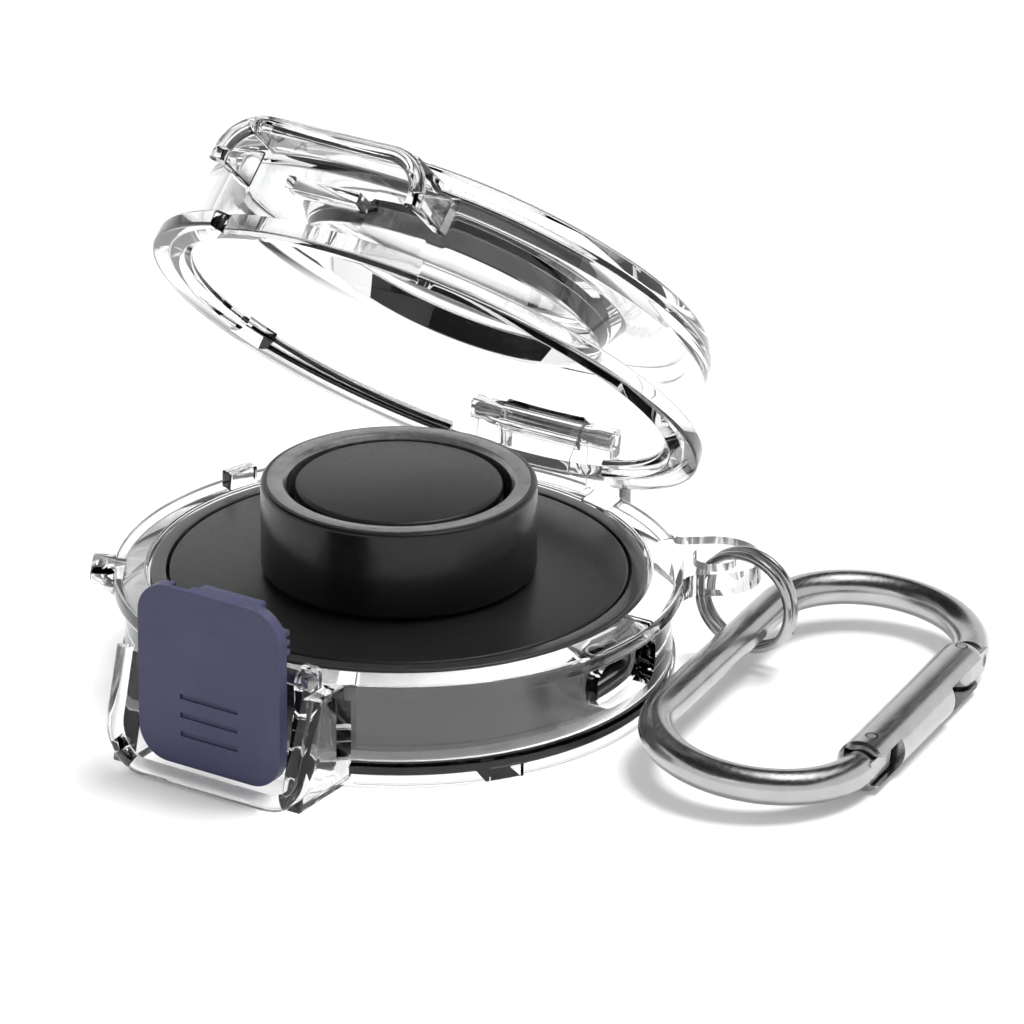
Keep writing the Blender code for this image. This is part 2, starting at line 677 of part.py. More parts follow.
def lower_shell():
    obj = keep(shell_body(), CLEAR)
    notch = ring_sector(SHELL_RADIUS + FLUSH_STEP, FLANGE_RADIUS + OVERRUN, -90, EAR_INNER)
    notch_low = RIM_TOP - FLANGE_THICKNESS - 2 * EDGE
    port = port_cutter("port", SHELL_INNER_RADIUS - OVERRUN, FLANGE_RADIUS + OVERRUN, PORT_MARGIN)
    cut(obj, port, plate("latch_notch", notch, notch_low, RIM_TOP + OVERRUN), foot_notch())
    lug_place = about_z(LUG_ANGLE, LUG_HOLE_REACH)
    lug_top = RIM_TOP - FLUSH_STEP
    lug = plate("lug", lug_outline(), lug_top - LUG_THICKNESS, lug_top, lug_place)
    join(obj, lug, locating_key(), thumb_tab(), *lower_frame_pieces(), *shell_knuckles())
    hole = turned(
        "lug_hole",
        [
            (0, RIM_TOP + OVERRUN),
            (LUG_HOLE_RADIUS, RIM_TOP + OVERRUN),
            (LUG_HOLE_RADIUS, RIM_TOP - LUG_THICKNESS - OVERRUN),
            (0, RIM_TOP - LUG_THICKNESS - OVERRUN),
        ],
        SMALL_STEPS,
    )
    hole.matrix_world = about_z(LUG_ANGLE, LUG_HOLE_REACH)
    reach = EAR_INNER + EAR_THICKNESS + OVERRUN
    pin_hole = along_x(
        "latch_pin_hole",
        LATCH_PIN_RADIUS + RUNNING_GAP,
        -reach,
        reach,
        LATCH_AXIS_Y,
        LATCH_AXIS_Z,
    )
    hinge_reach = LID_KNUCKLE_WIDTH / 2 + SHELL_KNUCKLE_WIDTH + OVERRUN
    hinge_hole = along_x(
        "shell_hinge_hole",
        HINGE_PIN_RADIUS + RUNNING_GAP,
        -hinge_reach,
        hinge_reach,
        HINGE_Y,
        HINGE_Z,
    )
    cut(obj, hole, pin_hole, hinge_hole)


def lid_body():
    dish_floor = LID_TOP - DISH_DEPTH
    ceiling_low = dish_floor - DISH_FLOOR_THICKNESS
    inner = LID_INNER_RADIUS
    profile = [
        (0, dish_floor),
        (DISH_INNER_RADIUS, dish_floor),
        (DISH_OUTER_RADIUS, LID_TOP),
        (LID_TOP_RADIUS, LID_TOP),
        (LID_RADIUS - LID_DRAFT - LID_SHOULDER_INSET / 2, LID_TOP - LID_SHOULDER_INSET),
        (LID_RADIUS - LID_DRAFT, LID_SHOULDER_TOP),
        (LID_RADIUS, LID_BOTTOM + FLANGE_THICKNESS + EDGE),
        (LID_FLANGE_RADIUS - EDGE, LID_BOTTOM + FLANGE_THICKNESS),
        (LID_FLANGE_RADIUS, LID_BOTTOM + FLANGE_THICKNESS - EDGE),
        (LID_FLANGE_RADIUS, LID_BOTTOM + EDGE),
        (LID_FLANGE_RADIUS - EDGE, LID_BOTTOM),
        (inner + LID_LIP, LID_BOTTOM),
        (inner, LID_BOTTOM + LID_LIP),
        (inner - LID_DRAFT, LID_CEILING - 2 * LID_LIP),
        (inner - LID_DRAFT - LID_LIP, LID_CEILING),
        (DISH_OUTER_RADIUS, LID_CEILING),
        (DISH_INNER_RADIUS + EDGE, ceiling_low),
        (0, ceiling_low),
    ]
    return turned("upper_lid", profile, LARGE_STEPS)


def upper_frame_pieces():
    """The lid's half of the frame: its bead, cheeks and bridge, and the ledge for the hook."""
    base = FRAME_TOP - LID_FRAME_ARM
    mirrored = frame_path(base - LID_FRAME_ARM, base, 0.0)
    path = [(x, y, 2 * base - z) for x, y, z in mirrored]
    pieces = [tube("upper_bead", path, FRAME_BEAD_RADIUS)]
    bridge_low = BUTTON_BOTTOM + BUTTON_HEIGHT + FIT_GAP
    cheek = [
        (LID_CHEEK_ROOT_Y, base + FLUSH_STEP),
        (LID_CHEEK_ROOT_Y, bridge_low + BRIDGE_THICKNESS / 2),
        (FRAME_Y, FRAME_TOP - FRAME_CORNER_RADIUS),
        (FRAME_Y, base + FLUSH_STEP),
    ]
    for side, name in ((-1, "left"), (1, "right")):
        inner, outer = LID_CHEEK_INNER, LID_CHEEK_INNER + LID_CHEEK_THICKNESS
        low, high = sorted((side * inner, side * outer))
        pieces.append(plate(f"lid_cheek_{name}", cheek, low, high, SIDEWAYS))
    half_width = LID_CHEEK_INNER - FRAME_BEAD_RADIUS
    in_wall = LID_INNER_RADIUS + LID_WALL / 3
    spread = math.degrees(math.asin(half_width / in_wall))
    bridge = arc((0, 0), in_wall, -90 + spread, -90 - spread, CORNER_STEPS * 2) + [
        (-half_width, FRAME_Y),
        (half_width, FRAME_Y),
    ]
    pieces.append(plate("bridge", bridge, bridge_low, bridge_low + BRIDGE_THICKNESS))
    ledge_top = HOOK_BOTTOM - FIT_GAP
    ledge_front = -HOOK_REACH - HOOK_ENGAGEMENT
    pieces.append(
        box(
            "catch_ledge",
            (-LEDGE_HALF_WIDTH, ledge_front, ledge_top - LEDGE_HEIGHT),
            (LEDGE_HALF_WIDTH, LID_WALL / 2 - LID_RADIUS, ledge_top),
        )
    )
    return pieces


def hinge_reliefs():
    """Room in the lid's wall for the shell's knuckles, at any opening."""
    start = LID_KNUCKLE_WIDTH / 2
    end = start + 2 * FIT_GAP + SHELL_KNUCKLE_WIDTH
    pieces = []
    for side, name in ((-1, "left"), (1, "right")):
        low, high = sorted((side * start, side * end))
        pieces.append(along_x(f"relief_{name}", HINGE_RELIEF_RADIUS, low, high, HINGE_Y, HINGE_Z))
    return pieces


def upper_lid(lid_pivot):
    obj = keep(lid_body(), CLEAR)
    low, high = LID_BOTTOM - OVERRUN, LID_BOTTOM + FLANGE_THICKNESS + 2 * EDGE
    outer = LID_FLANGE_RADIUS + OVERRUN
    front = ring_sector(LID_RADIUS, outer, -90, FRAME_BEAD_X)
    knuckle_end = LID_KNUCKLE_WIDTH / 2 + FIT_GAP + SHELL_KNUCKLE_WIDTH
    back = ring_sector(LID_RADIUS, outer, 90, knuckle_end + FIT_GAP)
    cut(obj, plate("front_notch", front, low, high), plate("back_notch", back, low, high))
    half_key = KEY_WIDTH / 2 + FIT_GAP
    key_outer = KEY_INNER_RADIUS + KEY_THICKNESS + FIT_GAP
    key = ring_sector(LID_INNER_RADIUS - OVERRUN, key_outer, KEY_ANGLE, half_key)
    key_high = RIM_TOP + KEY_HEIGHT + FIT_GAP
    cut(obj, plate("key_notch", key, low, key_high))
    half = LID_KNUCKLE_WIDTH / 2
    knuckle = arc((HINGE_Y, HINGE_Z), HINGE_BARREL_RADIUS, -90, 90, CORNER_STEPS * 2) + [
        (LID_RADIUS - LID_WALL, HINGE_Z + HINGE_BARREL_RADIUS),
        (LID_RADIUS - LID_WALL, HINGE_Z - HINGE_BARREL_RADIUS),
    ]
    cut(obj, *hinge_reliefs())
    join(obj, plate("lid_knuckle", knuckle, -half, half, SIDEWAYS), *upper_frame_pieces())
    reach = half + OVERRUN
    bore = HINGE_PIN_RADIUS + RUNNING_GAP
    cut(obj, along_x("lid_hinge_hole", bore, -reach, reach, HINGE_Y, HINGE_Z))
    hang_in_place(lid_pivot, obj)


def hinge_pin():
    half = LID_KNUCKLE_WIDTH / 2 + SHELL_KNUCKLE_WIDTH
    keep(along_x("hinge_pin", HINGE_PIN_RADIUS, -half, half, HINGE_Y, HINGE_Z), STEEL)


def latch_button(latch_pivot):
    outline = rounded_rectangle(
        BUTTON_WIDTH / 2,
        BUTTON_BOTTOM,
        BUTTON_BOTTOM + BUTTON_HEIGHT,
        BUTTON_CORNER_RADIUS,
    )
    obj = keep(plate("latch_button", outline, BUTTON_BACK, BUTTON_FRONT, FACING_BACK), VIOLET)
    bevel = obj.modifiers.new("edges", "BEVEL")
    bevel.width = BUTTON_EDGE
    bevel.segments = 2
    bevel.limit_method = "ANGLE"
    bevel.angle_limit = math.radians(60)
    for side, name in ((-1, "left"), (1, "right")):
        low, high = sorted((side * LATCH_RIB_INNER, side * LATCH_RIB_OUTER))
        barrel = along_x(f"latch_barrel_{name}", LATCH_BARREL_RADIUS, low, high, LATCH_AXIS_Y, LATCH_AXIS_Z)
        block = box(
            f"latch_block_{name}",
            (low, -BUTTON_BACK - LAP, LATCH_AXIS_Z - LATCH_RIB_HALF_HEIGHT),
            (high, LATCH_AXIS_Y, LATCH_AXIS_Z + LATCH_RIB_HALF_HEIGHT),
        )
        join(obj, barrel, block)
    hook = box(
        "hook",
        (-HOOK_HALF_WIDTH, -BUTTON_BACK - LAP, HOOK_BOTTOM),
        (HOOK_HALF_WIDTH, -HOOK_REACH, HOOK_BOTTOM + HOOK_HEIGHT),
    )
    join(obj, hook)
    pocket = box(
        "spring_pocket",
        (-POCKET_HALF_WIDTH, -BUTTON_BACK - POCKET_DEPTH, LATCH_AXIS_Z - POCKET_BELOW),
        (POCKET_HALF_WIDTH, -BUTTON_BACK + OVERRUN, LATCH_AXIS_Z + POCKET_ABOVE),
    )
    reach = LATCH_RIB_OUTER + OVERRUN
    bore = LATCH_PIN_RADIUS + RUNNING_GAP
    cut(obj, pocket, along_x("latch_bore", bore, -reach, reach, LATCH_AXIS_Y, LATCH_AXIS_Z))
    hang_in_place(latch_pivot, obj)


def latch_pin():
    half = EAR_INNER + EAR_THICKNESS
    keep(along_x("latch_pin", LATCH_PIN_RADIUS, -half, half, LATCH_AXIS_Y, LATCH_AXIS_Z), STEEL)


def least_gap(points, wire_radius, apart):
    """The least gap between stretches of one wire that are more than apart points from each other."""
    least = math.inf
    for i, first in enumerate(points):
        for second in points[i + apart :]:
            least = min(least, (Vector(first) - Vector(second)).length)
    return least - 2 * wire_radius


def report_gap(name, points, wire_radius, apart):
    gap = least_gap(points, wire_radius, apart)
    print(f"{name}: least gap between turns {gap / MM:.2f} mm")


def latch_spring():
    """A torsion spring round the latch pin, with one leg on the button and one on the shell."""
    count = round(SPRING_TURNS * SPRING_TURN_STEPS)
    coil = []
    for i in range(count + 1):
        angle = math.pi - 2 * math.pi * SPRING_TURNS * i / count
        x = SPRING_LENGTH * (i / count - 0.5)
        y = LATCH_AXIS_Y + SPRING_MEAN_RADIUS * math.cos(angle)
        z = LATCH_AXIS_Z + SPRING_MEAN_RADIUS * math.sin(angle)
        coil.append((x, y, z))
    first, last = coil[0], coil[-1]
    button_leg = (first[0], first[1], first[2] - SPRING_BUTTON_LEG)
    shell_leg = (last[0], last[1], last[2] - SPRING_SHELL_LEG)
    report_gap("latch_spring", coil, SPRING_WIRE_RADIUS, SPRING_TURN_STEPS // 2)
    points = [button_leg] + coil + [shell_leg]
    keep(tube("latch_spring", points, SPRING_WIRE_RADIUS, 1), SPRING_STEEL)


def split_ring(ring_pivot):
    """Two turns of wire in an upright plane. Their ends lie opposite the lug's hole."""
    drop = SPLIT_RING_HEIGHT - (RIM_TOP - LUG_THICKNESS / 2)
    across = math.sqrt(SPLIT_RING_RADIUS**2 - drop**2)
    at_hole = math.atan2(-drop, -across)
    count = SPLIT_RING_TURNS * SPLIT_RING_TURN_STEPS
    points = []
    for i in range(count + 1):
        share = i / count
        angle = at_hole - math.pi + 2 * math.pi * SPLIT_RING_TURNS * share
        x = SPLIT_RING_OFFSET + SPLIT_RING_RADIUS * math.cos(angle)
        y = SPLIT_RING_PITCH * SPLIT_RING_TURNS * (share - 0.5)
        z = SPLIT_RING_HEIGHT + SPLIT_RING_RADIUS * math.sin(angle)
        points.append((x, y, z))
    report_gap("split_ring", points, SPLIT_RING_WIRE_RADIUS, SPLIT_RING_TURN_STEPS // 2)
    obj = keep(tube("split_ring", points, SPLIT_RING_WIRE_RADIUS, 1), STEEL)
    obj.parent = ring_pivot


def hinge_tongue_start():
    """Where the rod gives way to the tongue, clear of the gate's round end."""
    return RIVET_Y + GATE_RADIUS + FIT_GAP


def nose_tongue_start():
    return -CARABINER_STRAIGHT / 2 - GATE_NOSE_OVERLAP - FIT_GAP


def carabiner_path():
    """From the hinge tongue round the far bend, along the spine and back to the nose."""
    bend, half = CARABINER_BEND_RADIUS, CARABINER_STRAIGHT / 2
    steps = CORNER_STEPS * 3
    first = math.degrees(math.asin((hinge_tongue_start() - half) / bend))
    last = math.degrees(math.asin((nose_tongue_start() + half) / bend))
    flat = (
        arc((bend, half), bend, first, 180, steps)
        + arc((bend, -half), bend, 180, 360 + last, steps)
    )
    return [(x, y, 0) for x, y in flat]


def carabiner_body(carabiner_pivot):
    rounding = (CARABINER_ROD_STEPS - 4) // 2
    obj = keep(tube("carabiner_body", carabiner_path(), CARABINER_ROD_RADIUS, rounding), STEEL)
    thick = TONGUE_HALF_THICKNESS
    left, right = GATE_X - TONGUE_RADIUS, GATE_X + TONGUE_RADIUS
    eye = arc((GATE_X, RIVET_Y), TONGUE_RADIUS, 180, 360, CORNER_STEPS * 2)
    eye_top = hinge_tongue_start() + 2 * LAP
    hinge_tongue = plate("hinge_tongue", eye + [(right, eye_top), (left, eye_top)], -thick, thick)
    nose_low = nose_tongue_start() - 2 * LAP
    nose_high = NOSE_LENGTH - CARABINER_STRAIGHT / 2
    nose_tongue = box("nose_tongue", (left, nose_low, -thick), (right, nose_high, thick))
    join(obj, hinge_tongue, nose_tongue)
    bore = RIVET_RADIUS + RUNNING_GAP
    past = thick + OVERRUN
    rivet_bore = rod("rivet_bore", bore, (GATE_X, RIVET_Y, -past), (GATE_X, RIVET_Y, past))
    slot_half = NOSE_PIN_RADIUS + FIT_GAP
    pin_y = NOSE_PIN_INSET - CARABINER_STRAIGHT / 2
    slot = box(
        "nose_slot",
        (left - OVERRUN, pin_y - slot_half, -past),
        (GATE_X + slot_half, pin_y + slot_half, past),
    )
    cut(obj, rivet_bore, slot)
    hang(carabiner_pivot, obj)


def carabiner_gate(gate_pivot):
    """A round bar with a ball end at the rivet and a slot at each end, open outwards."""
    nose_end = -CARABINER_STRAIGHT / 2 - GATE_NOSE_OVERLAP
    profile = [(y, x + RIVET_Y) for x, y in arc((0, 0), GATE_RADIUS, 0, 90, CORNER_STEPS)]
    profile += [
        (GATE_RADIUS, nose_end + EDGE),
        (GATE_RADIUS - EDGE, nose_end),
        (0, nose_end),
    ]
    obj = keep(turned("carabiner_gate", profile, GATE_STEPS), STEEL)
    obj.matrix_world = Matrix.Translation((GATE_X, 0, 0)) @ Matrix.Rotation(math.radians(-90), 4, "X")
    half_slot = TONGUE_HALF_THICKNESS + FIT_GAP
    bottom = GATE_X - GATE_RADIUS + GATE_SLOT_WALL
    past = GATE_RADIUS + OVERRUN
    hinge_slot = box(
        "hinge_slot",
        (bottom, gate_slot_end(), -half_slot),
        (GATE_X + past, RIVET_Y + past, half_slot),
    )
    nose_slot = box(
        "gate_nose_slot",
        (bottom, nose_end - OVERRUN, -half_slot),
        (GATE_X + past, nose_end + GATE_NOSE_SLOT, half_slot),
    )
    behind = box(
        "behind_rivet",
        (GATE_X - past, RIVET_Y - GATE_BACK_SETBACK, -half_slot),
        (bottom + LAP, RIVET_Y + past, half_slot),
    )
    bore = RIVET_RADIUS + RUNNING_GAP
    rivet = rod("gate_rivet_bore", bore, (GATE_X, RIVET_Y, -past), (GATE_X, RIVET_Y, past))
    pin_y = NOSE_PIN_INSET - CARABINER_STRAIGHT / 2
    hole = NOSE_PIN_RADIUS + RUNNING_GAP
    pin = rod("nose_pin_bore", hole, (GATE_X, pin_y, -past), (GATE_X, pin_y, past))
    cut(obj, hinge_slot, nose_slot, behind, rivet, pin)
    hang_in_place(gate_pivot, obj)


def gate_rivet(carabiner_pivot):
    end = GATE_RADIUS - FLUSH_STEP
    obj = keep(rod("gate_rivet", RIVET_RADIUS, (GATE_X, RIVET_Y, -end), (GATE_X, RIVET_Y, end)), STEEL)
    hang(carabiner_pivot, obj)


def gate_nose_pin(gate_pivot):
    y = NOSE_PIN_INSET - CARABINER_STRAIGHT / 2
    end = GATE_RADIUS - FLUSH_STEP
    obj = keep(rod("gate_nose_pin", NOSE_PIN_RADIUS, (GATE_X, y, -end), (GATE_X, y, end)), STEEL)
    hang_in_place(gate_pivot, obj)


def gate_spring_start():
    """The centre of the first turn, beside the rounded end of the body's tongue."""
    return RIVET_Y - TONGUE_RADIUS - FIT_GAP - GATE_SPRING_WIRE_RADIUS


def gate_slot_end():
    length = GATE_SPRING_TURNS * GATE_SPRING_PITCH
    return gate_spring_start() - length - GATE_SPRING_WIRE_RADIUS - FIT_GAP


def gate_spring(gate_pivot):
    count = round(GATE_SPRING_TURNS * SPRING_TURN_STEPS)
    length = GATE_SPRING_TURNS * GATE_SPRING_PITCH
    points = []
    for i in range(count + 1):
        angle = 2 * math.pi * GATE_SPRING_TURNS * i / count
        x = GATE_X + GATE_SPRING_RADIUS * math.cos(angle)
        y = gate_spring_start() - length * i / count
        z = GATE_SPRING_RADIUS * math.sin(angle)
        points.append((x, y, z))
    report_gap("gate_spring", points, GATE_SPRING_WIRE_RADIUS, SPRING_TURN_STEPS // 2)
    obj = keep(tube("gate_spring", points, GATE_SPRING_WIRE_RADIUS, 1), SPRING_STEEL)
    hang_in_place(gate_pivot, obj)


def post_places():
    for number, angle in enumerate(POST_ANGLES, 1):
        turn = math.radians(angle)
        yield number, POST_CIRCLE_RADIUS * math.cos(turn), POST_CIRCLE_RADIUS * math.sin(turn)


def dock_housing():
    inner = DOCK_RADIUS - HOUSING_WALL
    ledge_top = DOCK_TOP - TOP_PLATE_THICKNESS - FIT_GAP
    ledge_low = ledge_top - LEDGE_THICKNESS
    profile = [
        (inner, DOCK_TOP),
        (DOCK_RADIUS - EDGE, DOCK_TOP),
        (DOCK_RADIUS, DOCK_TOP - EDGE),
        (DOCK_RADIUS, DOCK_BOTTOM + EDGE),
        (DOCK_RADIUS - EDGE, DOCK_BOTTOM),
        (inner, DOCK_BOTTOM),
        (inner, ledge_low),
        (inner - LEDGE_WIDTH, ledge_low),
        (inner - LEDGE_WIDTH, ledge_top),
        (inner, ledge_top),
    ]
    obj = keep(turned("dock_housing", profile, LARGE_STEPS, closed=True), SIDE_GREY)
    post_low = COVER_TOP + FIT_GAP
    for number, x, y in post_places():
        top = (ledge_low + ledge_top) / 2
        join(obj, rod(f"post_{number}", POST_RADIUS, (x, y, post_low), (x, y, top)))
    for number, x, y in post_places():
        bore = SCREW_SHANK_RADIUS + RUNNING_GAP
        bore_top = DOCK_BOTTOM + COVER_RECESS + SCREW_LENGTH + SCREW_HEAD_HEIGHT + FIT_GAP
        cut(obj, rod(f"post_bore_{number}", bore, (x, y, post_low - OVERRUN), (x, y, bore_top)))
    cut(obj, port_cutter("housing_port", inner - OVERRUN, DOCK_RADIUS + OVERRUN, FIT_GAP))


def dock_top_plate():
    radius = DOCK_RADIUS - HOUSING_WALL - FIT_GAP
    bottom = DOCK_TOP - TOP_PLATE_THICKNESS
    profile = [
        (SPIGOT_RADIUS + FIT_GAP, DOCK_TOP),
        (radius - EDGE / 2, DOCK_TOP),
        (radius, DOCK_TOP - EDGE / 2),
        (radius, bottom),
        (SPIGOT_RADIUS + FIT_GAP, bottom),
    ]
    keep(turned("dock_top_plate", profile, LARGE_STEPS, closed=True), MATT_BLACK)


def dock_pillar():
    top = PILLAR_TOP - CAP_THICKNESS - FIT_GAP
    foot = DOCK_TOP + FIT_GAP
    bore = SPIGOT_RADIUS - PILLAR_WALL
    profile = [
        (bore, top),
        (PILLAR_RADIUS, top),
        (PILLAR_RADIUS, foot),
        (SPIGOT_RADIUS, foot),
        (SPIGOT_RADIUS, foot - SPIGOT_LENGTH),
        (bore, foot - SPIGOT_LENGTH),
    ]
    keep(turned("dock_pillar", profile, MEDIUM_STEPS, closed=True), MATT_BLACK)


def pillar_cap():
    spigot = SPIGOT_RADIUS - PILLAR_WALL - FIT_GAP
    bottom = PILLAR_TOP - CAP_THICKNESS
    profile = [
        (0, PILLAR_TOP),
        (PILLAR_RADIUS - 2 * EDGE, PILLAR_TOP),
        (PILLAR_RADIUS - EDGE / 2, PILLAR_TOP - EDGE / 2),
        (PILLAR_RADIUS, PILLAR_TOP - 2 * EDGE),
        (PILLAR_RADIUS, bottom),
        (spigot, bottom),
        (spigot, bottom - CAP_SPIGOT_LENGTH),
        (0, bottom - CAP_SPIGOT_LENGTH),
    ]
    keep(turned("pillar_cap", profile, MEDIUM_STEPS), MATT_BLACK)


def ferrite_core():
    """The core stands on the board and carries the coil on its flange."""
    top = PILLAR_TOP - CAP_THICKNESS - CAP_SPIGOT_LENGTH - FIT_GAP
    flange_top = top - CORE_FLANGE_DROP
    flange_low = flange_top - CORE_FLANGE_THICKNESS
    profile = [
        (0, top),
        (CORE_RADIUS, top),
        (CORE_RADIUS, flange_top),
        (COIL_OUTER_RADIUS, flange_top),
        (COIL_OUTER_RADIUS, flange_low),
        (CORE_RADIUS, flange_low),
        (CORE_RADIUS, BOARD_TOP + FIT_GAP),
        (0, BOARD_TOP + FIT_GAP),
    ]
    keep(turned("ferrite_core", profile, MEDIUM_STEPS), FERRITE)
    coil_inner = CORE_RADIUS + FIT_GAP
    coil_top = top - FIT_GAP
    coil_low = flange_top + FIT_GAP
    coil = [
        (coil_inner, coil_top),
        (COIL_OUTER_RADIUS, coil_top),
        (COIL_OUTER_RADIUS, coil_low),
        (coil_inner, coil_low),
    ]
    keep(turned("charge_coil", coil, MEDIUM_STEPS, closed=True), COPPER)


def dock_base_cover():
    radius = DOCK_RADIUS - HOUSING_WALL - FIT_GAP
    bottom = DOCK_BOTTOM + COVER_RECESS
    profile = [(0, COVER_TOP), (radius, COVER_TOP), (radius, bottom), (0, bottom)]
    obj = keep(turned("dock_base_cover", profile, LARGE_STEPS), MATT_BLACK)
    for number, x, y in post_places():
        hole = SCREW_SHANK_RADIUS + FIT_GAP
        sink = SCREW_HEAD_RADIUS + FIT_GAP
        sink_top = bottom + SCREW_HEAD_HEIGHT + SNUG_GAP + FIT_GAP
        top = COVER_TOP + OVERRUN
        cut(obj, rod(f"cover_hole_{number}", hole, (x, y, bottom - OVERRUN), (x, y, top)))
        cut(obj, rod(f"cover_sink_{number}", sink, (x, y, bottom - OVERRUN), (x, y, sink_top)))


def cover_screws():
    bottom = DOCK_BOTTOM + COVER_RECESS + SNUG_GAP
    neck = bottom + SCREW_HEAD_HEIGHT
    for number, x, y in post_places():
        profile = [
            (0, bottom + SCREW_LENGTH),
            (SCREW_SHANK_RADIUS, bottom + SCREW_LENGTH),
            (SCREW_SHANK_RADIUS, neck),
            (SCREW_HEAD_RADIUS, neck),
            (SCREW_HEAD_RADIUS, bottom),
            (0, bottom),
        ]
        obj = keep(turned(f"cover_screw_{number}", profile, SMALL_STEPS), STEEL)
        obj.location = (x, y, 0)
        reach = SCREW_HEAD_RADIUS + OVERRUN
        slot_half = SCREW_SLOT_WIDTH / 2
        slot = box(
            f"screw_slot_{number}",
            (x - reach, y - slot_half, bottom - OVERRUN),
            (x + reach, y + slot_half, bottom + SCREW_SLOT_DEPTH),
        )
        cut(obj, slot)


def dock_foot_pad():
    low = SHELL_FLOOR + FIT_GAP
    high = low + PAD_THICKNESS
    profile = [
        (PAD_INNER_RADIUS, high),
        (PAD_OUTER_RADIUS, high),
        (PAD_OUTER_RADIUS, low),
        (PAD_INNER_RADIUS, low),
    ]
    keep(turned("dock_foot_pad", profile, LARGE_STEPS, closed=True), RUBBER)


def circuit_board():
    profile = [(0, BOARD_TOP), (BOARD_RADIUS, BOARD_TOP), (BOARD_RADIUS, BOARD_BOTTOM), (0, BOARD_BOTTOM)]
    obj = keep(turned("circuit_board", profile, MEDIUM_STEPS), BOARD_GREEN)
    half = SOCKET_WIDTH / 2 + FIT_GAP
    back = SOCKET_FRONT - SOCKET_LENGTH - FIT_GAP
    notch = box(
        "board_notch",
        (back, -half, BOARD_BOTTOM - OVERRUN),
        (BOARD_RADIUS + OVERRUN, half, BOARD_TOP + OVERRUN),
    )
    cut(obj, notch)


def usb_socket():
    half_height = SOCKET_HEIGHT / 2
    corner = half_height - EDGE
    low, high = SOCKET_Z - half_height, SOCKET_Z + half_height
    outline = rounded_rectangle(SOCKET_WIDTH / 2, low, high, corner)
    back = SOCKET_FRONT - SOCKET_LENGTH
    obj = keep(plate("usb_socket", outline, back, SOCKET_FRONT, SIDEWAYS), STEEL)
    wall = SOCKET_WALL
    mouth = rounded_rectangle(SOCKET_WIDTH / 2 - wall, low + wall, high - wall, corner - wall)
    mouth_back = SOCKET_FRONT - SOCKET_MOUTH_DEPTH
    cut(obj, plate("socket_mouth", mouth, mouth_back, SOCKET_FRONT + OVERRUN, SIDEWAYS))
    half_tongue = SOCKET_TONGUE_THICKNESS / 2
    tongue_half_width = SOCKET_WIDTH / 2 - wall - SOCKET_TONGUE_MARGIN
    tongue = box(
        "socket_tongue",
        (mouth_back - LAP, -tongue_half_width, SOCKET_Z - half_tongue),
        (SOCKET_FRONT - SOCKET_TONGUE_MARGIN, tongue_half_width, SOCKET_Z + half_tongue),
    )
    join(obj, tongue)


def ring_shell(lift_pivot):
    inner = RING_RADIUS - RING_SHELL_WALL
    profile = [
        (inner, RING_TOP - RING_SLOPE),
        (RING_RADIUS - RING_BEVEL, RING_TOP),
        (RING_RADIUS, RING_TOP - RING_BEVEL),
        (RING_RADIUS, RING_BOTTOM + RING_BEVEL),
        (RING_RADIUS - RING_BEVEL, RING_BOTTOM),
        (inner, RING_BOTTOM + RING_SLOPE),
    ]
    obj = keep(turned("ring_shell", profile, LARGE_STEPS, closed=True), GLOSS_BLACK)
    hang_in_place(lift_pivot, obj)


def ring_liner(lift_pivot):
    outer = RING_RADIUS - RING_SHELL_WALL - FIT_GAP
    inner = outer - RING_LINER_WALL
    top, bottom = RING_TOP - RING_SLOPE, RING_BOTTOM + RING_SLOPE
    profile = [
        (inner, top - LINER_SLOPE),
        (outer, top),
        (outer, bottom),
        (inner, bottom + LINER_SLOPE),
    ]
    obj = keep(turned("ring_liner", profile, LARGE_STEPS, closed=True), LINER_GREY)
    hang_in_place(lift_pivot, obj)


def shade_all():
    for obj in PARTS.objects:
        if obj.type == "MESH":
            obj.data.shade_smooth()
            obj.data.set_sharp_from_angle(angle=math.radians(35))


def build():
    lower_shell()
    hinge_pin()
    latch_pin()
    latch_spring()
    dock_housing()
    dock_top_plate()
    dock_pillar()
    pillar_cap()
    ferrite_core()
    dock_base_cover()
    cover_screws()
    dock_foot_pad()
    circuit_board()
    usb_socket()

    lid_pivot = pivot("lid_pivot", (0, HINGE_Y, HINGE_Z))
    upper_lid(lid_pivot)
    lid_pivot.rotation_euler = (math.radians(-LID_OPEN_ANGLE), 0, 0)

    latch_pivot = pivot("latch_pivot", (0, LATCH_AXIS_Y, LATCH_AXIS_Z))
    latch_button(latch_pivot)

    lift_pivot = pivot("ring_lift_pivot", (0, 0, 0))
    ring_shell(lift_pivot)
    ring_liner(lift_pivot)

    hole = about_z(LUG_ANGLE, LUG_HOLE_REACH).translation
    ring_pivot = pivot("split_ring_pivot", hole, (0, 0, math.radians(SPLIT_RING_YAW)))
    split_ring(ring_pivot)

    tilt = math.asin((SPINE_Z - GATE_Z) / GATE_X)
    spine = (SPINE_X, SPINE_Y, SPINE_Z)
    carabiner_pivot = pivot("carabiner_pivot", spine, (0, tilt, math.radians(CARABINER_YAW)))
    carabiner_body(carabiner_pivot)
    gate_rivet(carabiner_pivot)
    gate_pivot = pivot("gate_pivot", (GATE_X, RIVET_Y, 0), parent=carabiner_pivot)
    carabiner_gate(gate_pivot)
    gate_nose_pin(gate_pivot)
    gate_spring(gate_pivot)
    shade_all()


build()
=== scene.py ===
"""Dressed model of a clear round case with a latch, a split ring and a carabiner.

Metres, +Z up, with the origin at the centre of the case's underside. The latch faces -Y.
Pieces of the lid are made closed and then swung open about the hinge.
"""

import math

import bmesh
import bpy
from mathutils import Matrix, Vector

